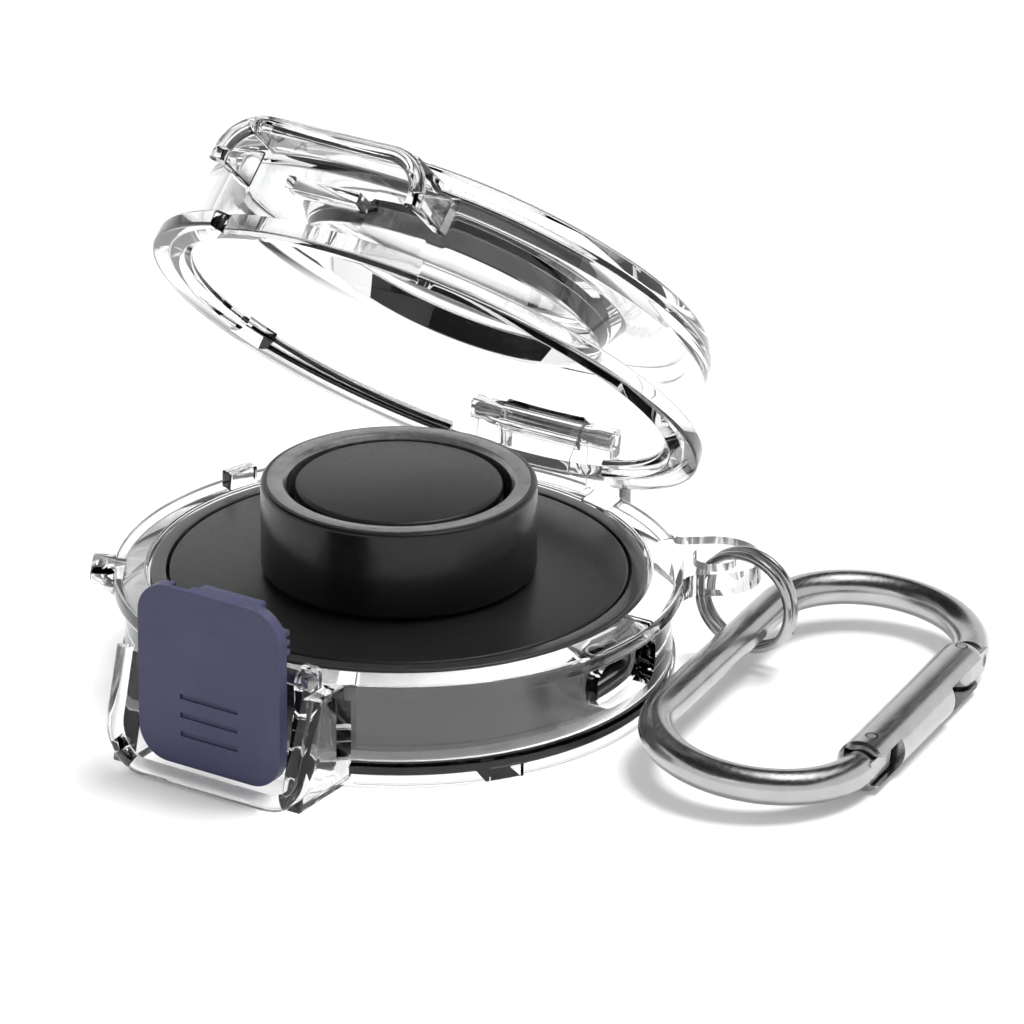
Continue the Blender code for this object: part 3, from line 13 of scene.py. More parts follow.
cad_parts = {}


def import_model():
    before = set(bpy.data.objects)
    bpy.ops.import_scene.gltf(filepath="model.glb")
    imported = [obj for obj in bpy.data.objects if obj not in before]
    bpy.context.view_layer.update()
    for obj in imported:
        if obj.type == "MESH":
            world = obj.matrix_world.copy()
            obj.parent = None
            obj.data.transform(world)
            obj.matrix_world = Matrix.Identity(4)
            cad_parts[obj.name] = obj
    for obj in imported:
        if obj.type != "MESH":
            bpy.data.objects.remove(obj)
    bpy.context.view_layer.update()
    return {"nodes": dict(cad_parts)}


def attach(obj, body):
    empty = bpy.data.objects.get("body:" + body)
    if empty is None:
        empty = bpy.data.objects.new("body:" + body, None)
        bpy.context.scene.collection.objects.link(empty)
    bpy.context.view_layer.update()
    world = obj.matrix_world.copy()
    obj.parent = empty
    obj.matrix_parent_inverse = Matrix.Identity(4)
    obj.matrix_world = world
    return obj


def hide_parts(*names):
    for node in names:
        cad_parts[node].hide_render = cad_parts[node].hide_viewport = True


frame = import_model()
NODES = frame["nodes"]
SCENE = bpy.context.scene
MM = 0.001

# Smoothness of what is made here, with the least angles in degrees that stay sharp
LATHE_STEPS = 160
ROUND_STEPS = 4
TUBE_SIDES = 24
EDGE_STEPS = 3
CREASE = 32
CREASE_AFTER_CUT = 28
LARGEST_CORNER_SHARE = 0.49

# How far cutters reach past what they cut, and how close points are merged
OVERRUN = 1.0 * MM
WELD = 0.001 * MM

# Rounding of the edges of flat forms
FINE_EDGE = 0.15 * MM
EDGE = 0.2 * MM
WIDE_EDGE = 0.35 * MM

# Sizes shared with the solids
DOCK_RADIUS = 25.0 * MM
DOCK_BOTTOM = 3.0 * MM
DOCK_TOP = 11.5 * MM
DOCK_INNER_RADIUS = 23.4 * MM
TOP_PLATE_RADIUS = 23.1 * MM
TOP_PLATE_BOTTOM = 10.1 * MM
SPIGOT_HOLE_RADIUS = 9.3 * MM
PILLAR_RADIUS = 10.45 * MM
PILLAR_BORE = 7.5 * MM
PILLAR_SPLIT = 19.6 * MM
PILLAR_TOP = 20.8 * MM
RING_RADIUS = 13.88 * MM
RING_SEAM_RADIUS = 12.35 * MM
LINER_RADIUS = 12.05 * MM
RING_BORE = 11.3 * MM
RING_BOTTOM = 11.8 * MM
RING_TOP = 21.1 * MM
SHELL_INNER = 25.3 * MM
SHELL_RADIUS = 27.6 * MM
SHELL_FLOOR = 2.0 * MM
RIM_TOP = 11.5 * MM
FLANGE_RADIUS = 28.75 * MM
FLANGE_BOTTOM = 9.8 * MM
FOOT_RADIUS = 27.95 * MM
FOOT_HEIGHT = 2.5 * MM
PORT_Z = 6.7 * MM
PORT_HALF_WIDTH = 5.4 * MM
PORT_HALF_HEIGHT = 2.5 * MM
LUG_ANGLE = 38.7
LUG_REACH = 32.0 * MM
LUG_RADIUS = 4.7 * MM
LUG_HOLE_RADIUS = 2.25 * MM
LUG_THICKNESS = 2.4 * MM
LID_OPEN_ANGLE = 43.1
HINGE = Vector((0, 28.2 * MM, 16.5 * MM))
HINGE_BARREL = 1.5 * MM
HINGE_BORE = 0.85 * MM
LID_KNUCKLE = 4.9 * MM
SHELL_KNUCKLE_START = 5.2 * MM
SHELL_KNUCKLE_END = 9.0 * MM
LID_BOTTOM = 11.8 * MM
LID_RADIUS = 27.5 * MM
LID_FLANGE_RADIUS = 29.4 * MM
LATCH_AXIS = Vector((0, -29.6 * MM, 12.6 * MM))
BUTTON_HALF_WIDTH = 8.35 * MM
BUTTON_BOTTOM = 1.8 * MM
BUTTON_TOP = 20.6 * MM
BUTTON_FRONT = -33.3 * MM
BUTTON_BACK = -30.7 * MM
BUTTON_CORNER = 3.4 * MM
EAR_INNER = 8.65 * MM
EAR_OUTER = 9.7 * MM
CHEEK_OUTER = 11.2 * MM
BEAD_RADIUS = 0.85 * MM
BEAD_X = 11.35 * MM
FRAME_Y = -31.2 * MM
FRAME_LEAN = 3.0 * MM
FRAME_TOP = 22.6 * MM
FRAME_CORNER = 4.2 * MM
LID_FRAME_ARM = 5.6 * MM
SPINE = Vector((30.46 * MM, 12.19 * MM, 4.73 * MM))
CARABINER_YAW = 7.55
CARABINER_TILT = 5.505
BEND = 10.58 * MM
HALF_STRAIGHT = 13.17 * MM
ROD_RADIUS = 1.8 * MM
GATE_X = 2 * BEND
GATE_RADIUS = 2.65 * MM
GATE_SLOT_HALF = 1.6 * MM
GATE_SLOT_FLOOR = 1.9 * MM
RIVET_Y = HALF_STRAIGHT - 1.5 * MM
NOSE_END = -HALF_STRAIGHT - 0.5 * MM
NOSE_PIN_Y = 1.5 * MM - HALF_STRAIGHT
TONGUE_HALF = 1.3 * MM
TONGUE_RADIUS = 1.5 * MM


def link(obj):
    SCENE.collection.objects.link(obj)
    return obj


def finished(name, bm, matrix=None):
    """A smooth-shaded object from a bmesh, with its creases kept sharp."""
    bmesh.ops.recalc_face_normals(bm, faces=bm.faces)
    if matrix:
        bm.transform(matrix)
    mesh = bpy.data.meshes.new(name)
    bm.to_mesh(mesh)
    bm.free()
    mesh.shade_smooth()
    mesh.set_sharp_from_angle(angle=math.radians(CREASE))
    return link(bpy.data.objects.new(name, mesh))


def rounded(corners, closed=True, steps=ROUND_STEPS):
    """An outline whose corners, given as (x, y, radius), are turned into arcs."""
    points = []
    count = len(corners)
    for i, (x, y, radius) in enumerate(corners):
        here = Vector((x, y))
        if radius == 0 or (not closed and i in (0, count - 1)):
            points.append((x, y))
            continue
        before = Vector(corners[i - 1][:2]) - here
        after = Vector(corners[(i + 1) % count][:2]) - here
        half = before.angle(after) / 2
        longest = LARGEST_CORNER_SHARE * min(before.length, after.length)
        reach = min(radius / math.tan(half), longest)
        radius = reach * math.tan(half)
        middle = (before.normalized() + after.normalized()).normalized()
        centre = here + middle * (radius / math.sin(half))
        start = here + before.normalized() * reach - centre
        end = here + after.normalized() * reach - centre
        turn = start.angle_signed(end)
        for step in range(steps + 1):
            angle = -turn * step / steps
            spoke = Matrix.Rotation(angle, 2) @ start
            points.append(tuple(centre + spoke))
    return points


def rounded_box(low, high, radius, steps=ROUND_STEPS):
    """A rectangle between two corners, with all its corners turned into arcs."""
    (left, bottom), (right, top) = low, high
    corners = [(left, bottom), (right, bottom), (right, top), (left, top)]
    return rounded([(x, y, radius) for x, y in corners], steps=steps)


def arc(centre, radius, start, end, steps):
    """Points from one angle to another, in degrees."""
    found = []
    for i in range(steps + 1):
        angle = math.radians(start + (end - start) * i / steps)
        x, y = centre[0] + radius * math.cos(angle), centre[1] + radius * math.sin(angle)
        found.append((x, y))
    return found


def lathe(name, profile, closed=False, steps=LATHE_STEPS, matrix=None):
    """A profile of (radius, height) points turned about Z."""
    bm = bmesh.new()
    rings = []
    for radius, height in profile:
        if radius == 0:
            rings.append([bm.verts.new((0, 0, height))])
            continue
        ring = []
        for i in range(steps):
            angle = 2 * math.pi * i / steps
            x, y = radius * math.cos(angle), radius * math.sin(angle)
            ring.append(bm.verts.new((x, y, height)))
        rings.append(ring)
    pairs = list(zip(rings, rings[1:]))
    if closed:
        pairs.append((rings[-1], rings[0]))
    for upper, lower in pairs:
        for i in range(steps):
            j = (i + 1) % steps
            if len(upper) == 1:
                bm.faces.new((upper[0], lower[i], lower[j]))
            elif len(lower) == 1:
                bm.faces.new((upper[i], lower[0], upper[j]))
            else:
                bm.faces.new((upper[i], lower[i], lower[j], upper[j]))
    return finished(name, bm, matrix)


def tube(name, points, radius, sides=TUBE_SIDES, matrix=None):
    """A round rod along a list of points, with flat ends."""
    points = [Vector(point) for point in points]
    bm = bmesh.new()
    rings = []
    normal = None
    last = len(points) - 1
    for i, point in enumerate(points):
        along = (points[min(i + 1, last)] - points[max(i - 1, 0)]).normalized()
        normal = along.orthogonal() if normal is None else normal
        normal = (normal - along * normal.dot(along)).normalized()
        side = along.cross(normal)
        ring = []
        for k in range(sides):
            angle = 2 * math.pi * k / sides
            spoke = normal * math.cos(angle) + side * math.sin(angle)
            ring.append(bm.verts.new(point + spoke * radius))
        rings.append(ring)
    for first, second in zip(rings, rings[1:]):
        for k in range(sides):
            j = (k + 1) % sides
            bm.faces.new((first[k], second[k], second[j], first[j]))
    bm.faces.new(rings[0][::-1])
    bm.faces.new(rings[-1])
    return finished(name, bm, matrix)


def slab(name, outline, low, high, matrix=None, edge=0.0):
    """A flat outline with thickness from low to high, and rounded edges if asked."""
    bm = bmesh.new()
    bottom = [bm.verts.new((x, y, low)) for x, y in outline]
    top = [bm.verts.new((x, y, high)) for x, y in outline]
    bm.faces.new(bottom[::-1])
    bm.faces.new(top)
    for i in range(len(outline)):
        j = (i + 1) % len(outline)
        bm.faces.new((bottom[i], bottom[j], top[j], top[i]))
    if edge:
        rims = [e for e in bm.edges if abs(e.verts[0].co.z - e.verts[1].co.z) < edge / 10]
        bmesh.ops.bevel(
            bm, geom=rims, offset=edge, segments=EDGE_STEPS, affect="EDGES", profile=0.5
        )
    return finished(name, bm, matrix)


def block(name, low, high, edge=0.0):
    """A box between its lowest and its highest corner."""
    outline = [(low[0], low[1]), (high[0], low[1]), (high[0], high[1]), (low[0], high[1])]
    return slab(name, outline, low[2], high[2], edge=edge)


def combine(obj, operation, *others):
    """Joins or cuts an object with others, for good."""
    for other in others:
        modifier = obj.modifiers.new("combine", "BOOLEAN")
        modifier.operation = operation
        modifier.object = other
        modifier.solver = "EXACT"
        graph = bpy.context.evaluated_depsgraph_get()
        mesh = bpy.data.meshes.new_from_object(obj.evaluated_get(graph))
        obj.modifiers.clear()
        obj.data = mesh
        bm = bmesh.new()
        bm.from_mesh(mesh)
        bmesh.ops.remove_doubles(bm, verts=bm.verts, dist=WELD)
        bmesh.ops.dissolve_degenerate(bm, edges=bm.edges, dist=WELD)
        bm.to_mesh(mesh)
        bm.free()
        bpy.data.objects.remove(other, do_unlink=True)
    obj.data.shade_smooth()
    obj.data.set_sharp_from_angle(angle=math.radians(CREASE_AFTER_CUT))


def join(obj, *others):
    combine(obj, "UNION", *others)


def cut(obj, *others):
    combine(obj, "DIFFERENCE", *others)


def about_z(angle, reach=0.0):
    """A place that far out from the case's middle, turned by an angle."""
    return Matrix.Rotation(math.radians(angle), 4, "Z") @ Matrix.Translation((reach, 0, 0))


SIDEWAYS = Matrix(((0, 0, 1, 0), (1, 0, 0, 0), (0, 1, 0, 0), (0, 0, 0, 1)))
FACING_BACK = Matrix(((1, 0, 0, 0), (0, 0, -1, 0), (0, 1, 0, 0), (0, 0, 0, 1)))
ALONG_Y = Matrix.Rotation(math.radians(-90), 4, "X")
SWUNG_OPEN = (
    Matrix.Translation(HINGE)
    @ Matrix.Rotation(math.radians(-LID_OPEN_ANGLE), 4, "X")
    @ Matrix.Translation(-HINGE)
)
ON_CARABINER = (
    Matrix.Translation(SPINE)
    @ Matrix.Rotation(math.radians(CARABINER_YAW), 4, "Z")
    @ Matrix.Rotation(math.radians(CARABINER_TILT), 4, "Y")
)


def feed(tree, value, socket):
    """Gives a socket a number, or links it to another socket."""
    if isinstance(value, bpy.types.NodeSocket):
        tree.links.new(value, socket)
    else:
        socket.default_value = value


def calculate(tree, operation, first, second, clamp=False):
    """What a Math node makes of two values, each a number or a socket."""
    node = tree.nodes.new("ShaderNodeMath")
    node.operation = operation
    node.use_clamp = clamp
    feed(tree, first, node.inputs[0])
    feed(tree, second, node.inputs[1])
    return node.outputs[0]


def mix_shaders(tree, factor, first, second):
    mix = tree.nodes.new("ShaderNodeMixShader")
    tree.links.new(factor, mix.inputs["Fac"])
    tree.links.new(first, mix.inputs[1])
    tree.links.new(second, mix.inputs[2])
    return mix.outputs[0]


def node_material(name, color, roughness, metallic=0.0):
    """A Principled material, its nodes and its shader."""
    made = bpy.data.materials.new(name)
    made.use_nodes = True
    tree = made.node_tree
    shader = tree.nodes["Principled BSDF"]
    shader.inputs["Base Color"].default_value = (*color, 1)
    shader.inputs["Roughness"].default_value = roughness
    shader.inputs["Metallic"].default_value = metallic
    return made, tree, shader


def add_noise(tree, scale, detail=3.0, stretch=(1, 1, 1), rotation=(0, 0, 0)):
    """A noise in the part's own frame. The scale is in waves a metre."""
    place = tree.nodes.new("ShaderNodeTexCoord")
    mapping = tree.nodes.new("ShaderNodeMapping")
    mapping.inputs["Scale"].default_value = stretch
    mapping.inputs["Rotation"].default_value = rotation
    noise = tree.nodes.new("ShaderNodeTexNoise")
    noise.inputs["Scale"].default_value = scale
    noise.inputs["Detail"].default_value = detail
    tree.links.new(place.outputs["Object"], mapping.inputs["Vector"])
    tree.links.new(mapping.outputs["Vector"], noise.inputs["Vector"])
    return noise.outputs["Fac"]


# The part of a noise's range that most of its values lie in
NOISE_LOW = 0.35
NOISE_HIGH = 0.65


def vary(tree, shader, factor, socket, low, high):
    """Lets a noise drive a number on the shader between two values."""
    span = tree.nodes.new("ShaderNodeMapRange")
    span.inputs["From Min"].default_value = NOISE_LOW
    span.inputs["From Max"].default_value = NOISE_HIGH
    span.inputs["To Min"].default_value = low
    span.inputs["To Max"].default_value = high
    tree.links.new(factor, span.inputs["Value"])
    tree.links.new(span.outputs["Result"], shader.inputs[socket])


def tint(tree, shader, factor, low, high):
    """Lets a noise drive the base colour between two colours."""
    ramp = tree.nodes.new("ShaderNodeValToRGB")
    first, last = ramp.color_ramp.elements
    first.position, last.position = NOISE_LOW, NOISE_HIGH
    first.color, last.color = (*low, 1), (*high, 1)
    tree.links.new(factor, ramp.inputs["Fac"])
    tree.links.new(ramp.outputs["Color"], shader.inputs["Base Color"])


def bump(tree, shader, factor, strength, distance):
    """Lets a noise make the surface uneven."""
    node = tree.nodes.new("ShaderNodeBump")
    node.inputs["Strength"].default_value = strength
    node.inputs["Distance"].default_value = distance
    tree.links.new(factor, node.inputs["Height"])
    tree.links.new(node.outputs["Normal"], shader.inputs["Normal"])


# How much light a clear surface lets through to what lies in its shadow
CLEAR_SHADOW_SHARE = 0.85


def clear_plastic():
    made, tree, shader = node_material("clear_plastic", (0.985, 0.988, 0.99), 0.01)
    shader.inputs["Transmission Weight"].default_value = 1.0
    shader.inputs["IOR"].default_value = 1.49
    vary(tree, shader, add_noise(tree, 300, 2), "Roughness", 0.0, 0.012)
    bump(tree, shader, add_noise(tree, 90, 1), 0.05, 0.03 * MM)
    paths = tree.nodes.new("ShaderNodeLightPath")
    passed = calculate(tree, "MULTIPLY", paths.outputs["Is Shadow Ray"], CLEAR_SHADOW_SHARE)
    through = tree.nodes.new("ShaderNodeBsdfTransparent")
    either = mix_shaders(tree, passed, shader.outputs[0], through.outputs[0])
    tree.links.new(either, tree.nodes["Material Output"].inputs["Surface"])
    return made


def violet_plastic():
    made, tree, shader = node_material("violet_plastic", (0.07, 0.07, 0.14), 0.45)
    tint(tree, shader, add_noise(tree, 260), (0.034, 0.034, 0.088), (0.040, 0.040, 0.100))
    vary(tree, shader, add_noise(tree, 1800, 4), "Roughness", 0.42, 0.55)
    bump(tree, shader, add_noise(tree, 5000, 2), 0.25, 0.01 * MM)
    return made


def satin_steel(name, stretch, rotation=(0, 0, 0)):
    """Steel with a fine grain drawn out along the rod."""
    made, tree, shader = node_material(name, (0.46, 0.46, 0.465), 0.24, 1.0)
    grain = add_noise(tree, 5200, 3, stretch, rotation)
    tint(tree, shader, add_noise(tree, 300, 3), (0.44, 0.44, 0.445), (0.49, 0.49, 0.495))
    vary(tree, shader, grain, "Roughness", 0.18, 0.26)
    bump(tree, shader, grain, 0.05, 0.006 * MM)
    return made


def matt_black():
    made, tree, shader = node_material("matt_black", (0.007, 0.007, 0.007), 0.32)
    shader.inputs["Specular IOR Level"].default_value = 0.36
    tint(tree, shader, add_noise(tree, 700), (0.0055, 0.0055, 0.0055), (0.007, 0.007, 0.007))
    vary(tree, shader, add_noise(tree, 2500, 4), "Roughness", 0.28, 0.36)
    bump(tree, shader, add_noise(tree, 7000, 2), 0.06, 0.006 * MM)
    return made


# The dock's wall is the same black plastic as its face. This copy is painted lighter and
# glossier, as painted light for the brightness its side shows through the clear shell.
def side_grey():
    made, tree, shader = node_material("side_grey", (0.024, 0.024, 0.024), 0.2)
    shader.inputs["Specular IOR Level"].default_value = 0.45
    tint(tree, shader, add_noise(tree, 500), (0.022, 0.022, 0.022), (0.027, 0.027, 0.027))
    vary(tree, shader, add_noise(tree, 2500, 4), "Roughness", 0.16, 0.24)
    return made


def gloss_black():
    made, tree, shader = node_material("gloss_black", (0.006, 0.006, 0.006), 0.14)
    shader.inputs["Specular IOR Level"].default_value = 0.36
    tint(tree, shader, add_noise(tree, 900), (0.005, 0.005, 0.005), (0.007, 0.007, 0.007))
    vary(tree, shader, add_noise(tree, 1500, 4), "Roughness", 0.2, 0.27)
    return made


def liner_grey():
    made, tree, shader = node_material("liner_grey", (0.24, 0.24, 0.245), 0.2, 0.85)
    tint(tree, shader, add_noise(tree, 600), (0.22, 0.22, 0.225), (0.27, 0.27, 0.275))
    vary(tree, shader, add_noise(tree, 1500, 4), "Roughness", 0.16, 0.26)
    return made


def plain(name, color, roughness, metallic, scale, spread):
    """A material whose roughness varies by a spread, and its colour by that share of itself."""
    made, tree, shader = node_material(name, color, roughness, metallic)
    noise = add_noise(tree, scale, 4)
    vary(tree, shader, noise, "Roughness", roughness - spread, roughness + spread)
    low = [channel * (1 - spread) for channel in color]
    high = [channel * (1 + spread) for channel in color]
    tint(tree, shader, add_noise(tree, scale / 4), low, high)
    return made


CLEAR = clear_plastic()
VIOLET = violet_plastic()
ROD_STEEL = satin_steel("rod_steel", (1, 0.06, 1), (0, 0, math.radians(-CARABINER_YAW)))
WIRE_STEEL = satin_steel("wire_steel", (0.5, 0.5, 0.5))
PIN_STEEL = satin_steel("pin_steel", (0.06, 1, 1))
SPRING_STEEL = plain("spring_steel", (0.5, 0.5, 0.51), 0.25, 1.0, 2000, 0.08)
MATT_BLACK = matt_black()
PAINTED_LIT_BLACK = side_grey()
GLOSS_BLACK = gloss_black()
LINER_GREY = liner_grey()
RUBBER = plain("rubber", (0.025, 0.025, 0.025), 0.75, 0.0, 1200, 0.1)
BOARD_GREEN = plain("board_green", (0.02, 0.1, 0.045), 0.4, 0.0, 900, 0.1)
COPPER = plain("copper", (0.6, 0.25, 0.1), 0.3, 1.0, 1500, 0.1)
FERRITE = plain("ferrite", (0.05, 0.05, 0.055), 0.7, 0.0, 1500, 0.1)


def dress(obj, material, slot, body, *nodes):
    """Gives a piece its look and its body, and lets it stand for its solids."""
    obj.data.materials.clear()
    obj.data.materials.append(material)
    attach(obj, body)
    if nodes:
        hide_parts(*nodes)


def frame_path(bottom, top, lean):
    """Down one arm of the latch's frame, round its two corners and up the other arm."""
    low = bottom + BEAD_RADIUS
    inner = BEAD_X - FRAME_CORNER
    flat = (
        [(-BEAD_X, top)]
        + arc((-inner, low + FRAME_CORNER), FRAME_CORNER, 180, 270, 12)
        + arc((inner, low + FRAME_CORNER), FRAME_CORNER, 270, 360, 12)
        + [(BEAD_X, top)]
    )
    return [(x, FRAME_Y - lean * (top - z) / (top - low), z) for x, z in flat]


def mirrored(maker, name, low, high):
    """The left and the right copy of what is made between two distances from the middle."""
    return [maker(f"{name}_left", -high, -low), maker(f"{name}_right", low, high)]


def mirrored_slabs(name, outline, low, high, edge):
    """The left and the right copy of an outline in Y and Z."""
    return mirrored(
        lambda side, start, end: slab(side, outline, start, end, SIDEWAYS, edge), name, low, high
    )


def rod_x(name, start, end, place, radius):
    """A rod along X, through a place's Y and Z."""
    return tube(name, [(start, *place.yz), (end, *place.yz)], radius)


# Details of the lower shell
UNDER_RIM = RIM_TOP - 0.05 * MM
FLANGE_UNDERCUT = 0.3 * MM
FOOT_STEP = 0.2 * MM
PORT_CORNER = 2.2 * MM
FRONT_ANGLE = -90
FRONT_NOTCH_CLEARANCE = 0.05 * MM
FRONT_NOTCH_BELOW = 0.5 * MM
FOOT_NOTCH_FIRST_ANGLE = -37.6
FOOT_NOTCH_LAST_ANGLE = -30.4
FOOT_NOTCH_DEPTH = 0.3 * MM
FOOT_NOTCH_TOP = 1.6 * MM
LUG_HOLE_BELOW = 4 * MM
PIN_BORE = 0.95 * MM


def shell_glass():
    profile = rounded(
        [
            (0, SHELL_FLOOR, 0),
            (SHELL_INNER, SHELL_FLOOR, 0.5 * MM),
            (SHELL_INNER, RIM_TOP, 0.3 * MM),
            (FLANGE_RADIUS, RIM_TOP, 0.4 * MM),
            (FLANGE_RADIUS, FLANGE_BOTTOM, 0.4 * MM),
            (SHELL_RADIUS, FLANGE_BOTTOM - FLANGE_UNDERCUT, 0.3 * MM),
            (SHELL_RADIUS, FOOT_HEIGHT + FOOT_STEP, 0.2 * MM),
            (FOOT_RADIUS, FOOT_HEIGHT, 0.15 * MM),
            (FOOT_RADIUS, 0, 0.5 * MM),
            (0, 0, 0),
        ],
        closed=False,
    )
    shell = lathe("shell_glass", profile)
    port = rounded_box(
        (-PORT_HALF_WIDTH, PORT_Z - PORT_HALF_HEIGHT),
        (PORT_HALF_WIDTH, PORT_Z + PORT_HALF_HEIGHT),
        PORT_CORNER,
        steps=8,
    )
    outer = FLANGE_RADIUS + OVERRUN
    spread = math.degrees(math.asin(EAR_INNER / SHELL_RADIUS))
    first, last = FRONT_ANGLE - spread, FRONT_ANGLE + spread
    front = arc((0, 0), outer, first, last, 16)
    front += arc((0, 0), SHELL_RADIUS + FRONT_NOTCH_CLEARANCE, last, first, 16)
    first, last = FOOT_NOTCH_FIRST_ANGLE, FOOT_NOTCH_LAST_ANGLE
    foot = arc((0, 0), outer, first, last, 3)
    foot += arc((0, 0), SHELL_RADIUS - FOOT_NOTCH_DEPTH, last, first, 3)
    cut(
        shell,
        slab("port", port, SHELL_INNER - OVERRUN, outer, SIDEWAYS),
        slab("front_notch", front, FLANGE_BOTTOM - FRONT_NOTCH_BELOW, RIM_TOP + OVERRUN),
        slab("foot_notch", foot, -OVERRUN, FOOT_NOTCH_TOP),
    )
    join(shell, lug(), locating_key(), thumb_tab(), *lower_frame(), *shell_knuckles())
    ends = [(0, 0, RIM_TOP - LUG_HOLE_BELOW), (0, 0, RIM_TOP + OVERRUN)]
    hole = tube("hole", ends, LUG_HOLE_RADIUS, sides=32)
    hole.data.transform(about_z(LUG_ANGLE, LUG_REACH))
    reach = EAR_OUTER + OVERRUN
    pin = rod_x("pin", -reach, reach, LATCH_AXIS, PIN_BORE)
    reach = SHELL_KNUCKLE_END + OVERRUN
    bore = rod_x("bore", -reach, reach, HINGE, HINGE_BORE)
    cut(shell, hole, pin, bore)
    dress(shell, CLEAR, "clear_plastic", "base", "lower_shell")


# The lug that carries the split ring
LUG_FILLET = 1.5 * MM
LUG_ROOT_DEPTH = 0.8 * MM


def lug():
    fillet_y = LUG_RADIUS + LUG_FILLET
    fillet_x = math.sqrt((FLANGE_RADIUS + LUG_FILLET) ** 2 - fillet_y**2) - LUG_REACH
    sweep = math.degrees(math.atan2(fillet_y, fillet_x + LUG_REACH))
    upper = arc((fillet_x, fillet_y), LUG_FILLET, 270, 180 + sweep, 8)
    lower = [(x, -y) for x, y in reversed(upper)]
    tip = arc((0, 0), LUG_RADIUS, -90, 90, 28)
    root = LUG_REACH - SHELL_RADIUS + LUG_ROOT_DEPTH
    root_y = fillet_y - LUG_FILLET / 2
    outline = tip + upper + [(-root, root_y), (-root, -root_y)] + lower
    place = about_z(LUG_ANGLE, LUG_REACH)
    return slab("lug", outline, UNDER_RIM - LUG_THICKNESS, UNDER_RIM, place, WIDE_EDGE)


# The key on the rim that the closed lid fits over
KEY_ANGLE = 162
KEY_INNER = 25.65 * MM
KEY_OUTER = 27.25 * MM
KEY_HALF_WIDTH = 1.8 * MM
KEY_RISE = 1.8 * MM
KEY_ROOT = 1.7 * MM
KEY_CORNER = 0.3 * MM
KEY_EDGE = 0.25 * MM


def locating_key():
    outline = rounded_box((KEY_INNER, -KEY_HALF_WIDTH), (KEY_OUTER, KEY_HALF_WIDTH), KEY_CORNER)
    low, high = RIM_TOP - KEY_ROOT, RIM_TOP + KEY_RISE
    return slab("key", outline, low, high, about_z(KEY_ANGLE), KEY_EDGE)


# The tab on the flange that a thumb holds the case by
TAB_ANGLE = 212
TAB_ROOT_DEPTH = 0.4 * MM
TAB_REACH = 2.2 * MM
TAB_ROOT_HEIGHT = 3.4 * MM
TAB_TIP_HEIGHT = 0.9 * MM
TAB_HALF_WIDTH = 2.5 * MM


def thumb_tab():
    inner, outer = SHELL_RADIUS - TAB_ROOT_DEPTH, FLANGE_RADIUS + TAB_REACH
    outline = rounded(
        [
            (inner, UNDER_RIM, 0),
            (inner, UNDER_RIM - TAB_ROOT_HEIGHT, 0),
            (outer, UNDER_RIM - TAB_TIP_HEIGHT, 0.4 * MM),
            (outer, UNDER_RIM, 0.3 * MM),
        ]
    )
    place = about_z(TAB_ANGLE) @ FACING_BACK
    return slab("tab", outline, -TAB_HALF_WIDTH, TAB_HALF_WIDTH, place, EDGE)


# The frame round the latch's lower half, with its cheeks and the ears that hold its pin
LOWER_BEAD_BOTTOM = 0.05 * MM
LOWER_BEAD_RISE = 0.3 * MM
CHEEK_BACK = -24.8 * MM
CHEEK_BOTTOM = 0.6 * MM
CHEEK_LEAN_SHARE = 0.92
CHEEK_INNER = EAR_INNER + 0.05 * MM
EAR_RADIUS = 1.65 * MM


def lower_frame():
    path = frame_path(LOWER_BEAD_BOTTOM, RIM_TOP + LOWER_BEAD_RISE, FRAME_LEAN)
    bead = tube("bead", path, BEAD_RADIUS)
    cheek = [
        (CHEEK_BACK, CHEEK_BOTTOM),
        (FRAME_Y - CHEEK_LEAN_SHARE * FRAME_LEAN, CHEEK_BOTTOM),
        (FRAME_Y, UNDER_RIM),
        (CHEEK_BACK, UNDER_RIM),
    ]
    ear = arc(LATCH_AXIS.yz, EAR_RADIUS, 0, 180, 20) + [
        (LATCH_AXIS.y - EAR_RADIUS, FLANGE_BOTTOM),
        (LATCH_AXIS.y + EAR_RADIUS, FLANGE_BOTTOM),
    ]
    cheeks = mirrored_slabs("cheek", cheek, CHEEK_INNER, CHEEK_OUTER, EDGE)
    ears = mirrored_slabs("ear", ear, EAR_INNER, EAR_OUTER, FINE_EDGE)
    return [bead, *cheeks, *ears]


# The shell's two hinge knuckles
KNUCKLE_SLOPE_ANGLE = 140
KNUCKLE_ROOT_DEPTH = 3.0 * MM
KNUCKLE_ROOT_LOW = 8.0 * MM
KNUCKLE_BACK_LOW = 9.5 * MM


def shell_knuckles():
    upper = arc(HINGE.yz, HINGE_BARREL, 0, KNUCKLE_SLOPE_ANGLE, 20)
    outline = upper + [
        (upper[-1][0], UNDER_RIM),
        (HINGE.y - KNUCKLE_ROOT_DEPTH, UNDER_RIM),
        (HINGE.y - KNUCKLE_ROOT_DEPTH, KNUCKLE_ROOT_LOW),
        (HINGE.y + HINGE_BARREL, KNUCKLE_BACK_LOW),
    ]
    return mirrored_slabs("knuckle", outline, SHELL_KNUCKLE_START, SHELL_KNUCKLE_END, EDGE)


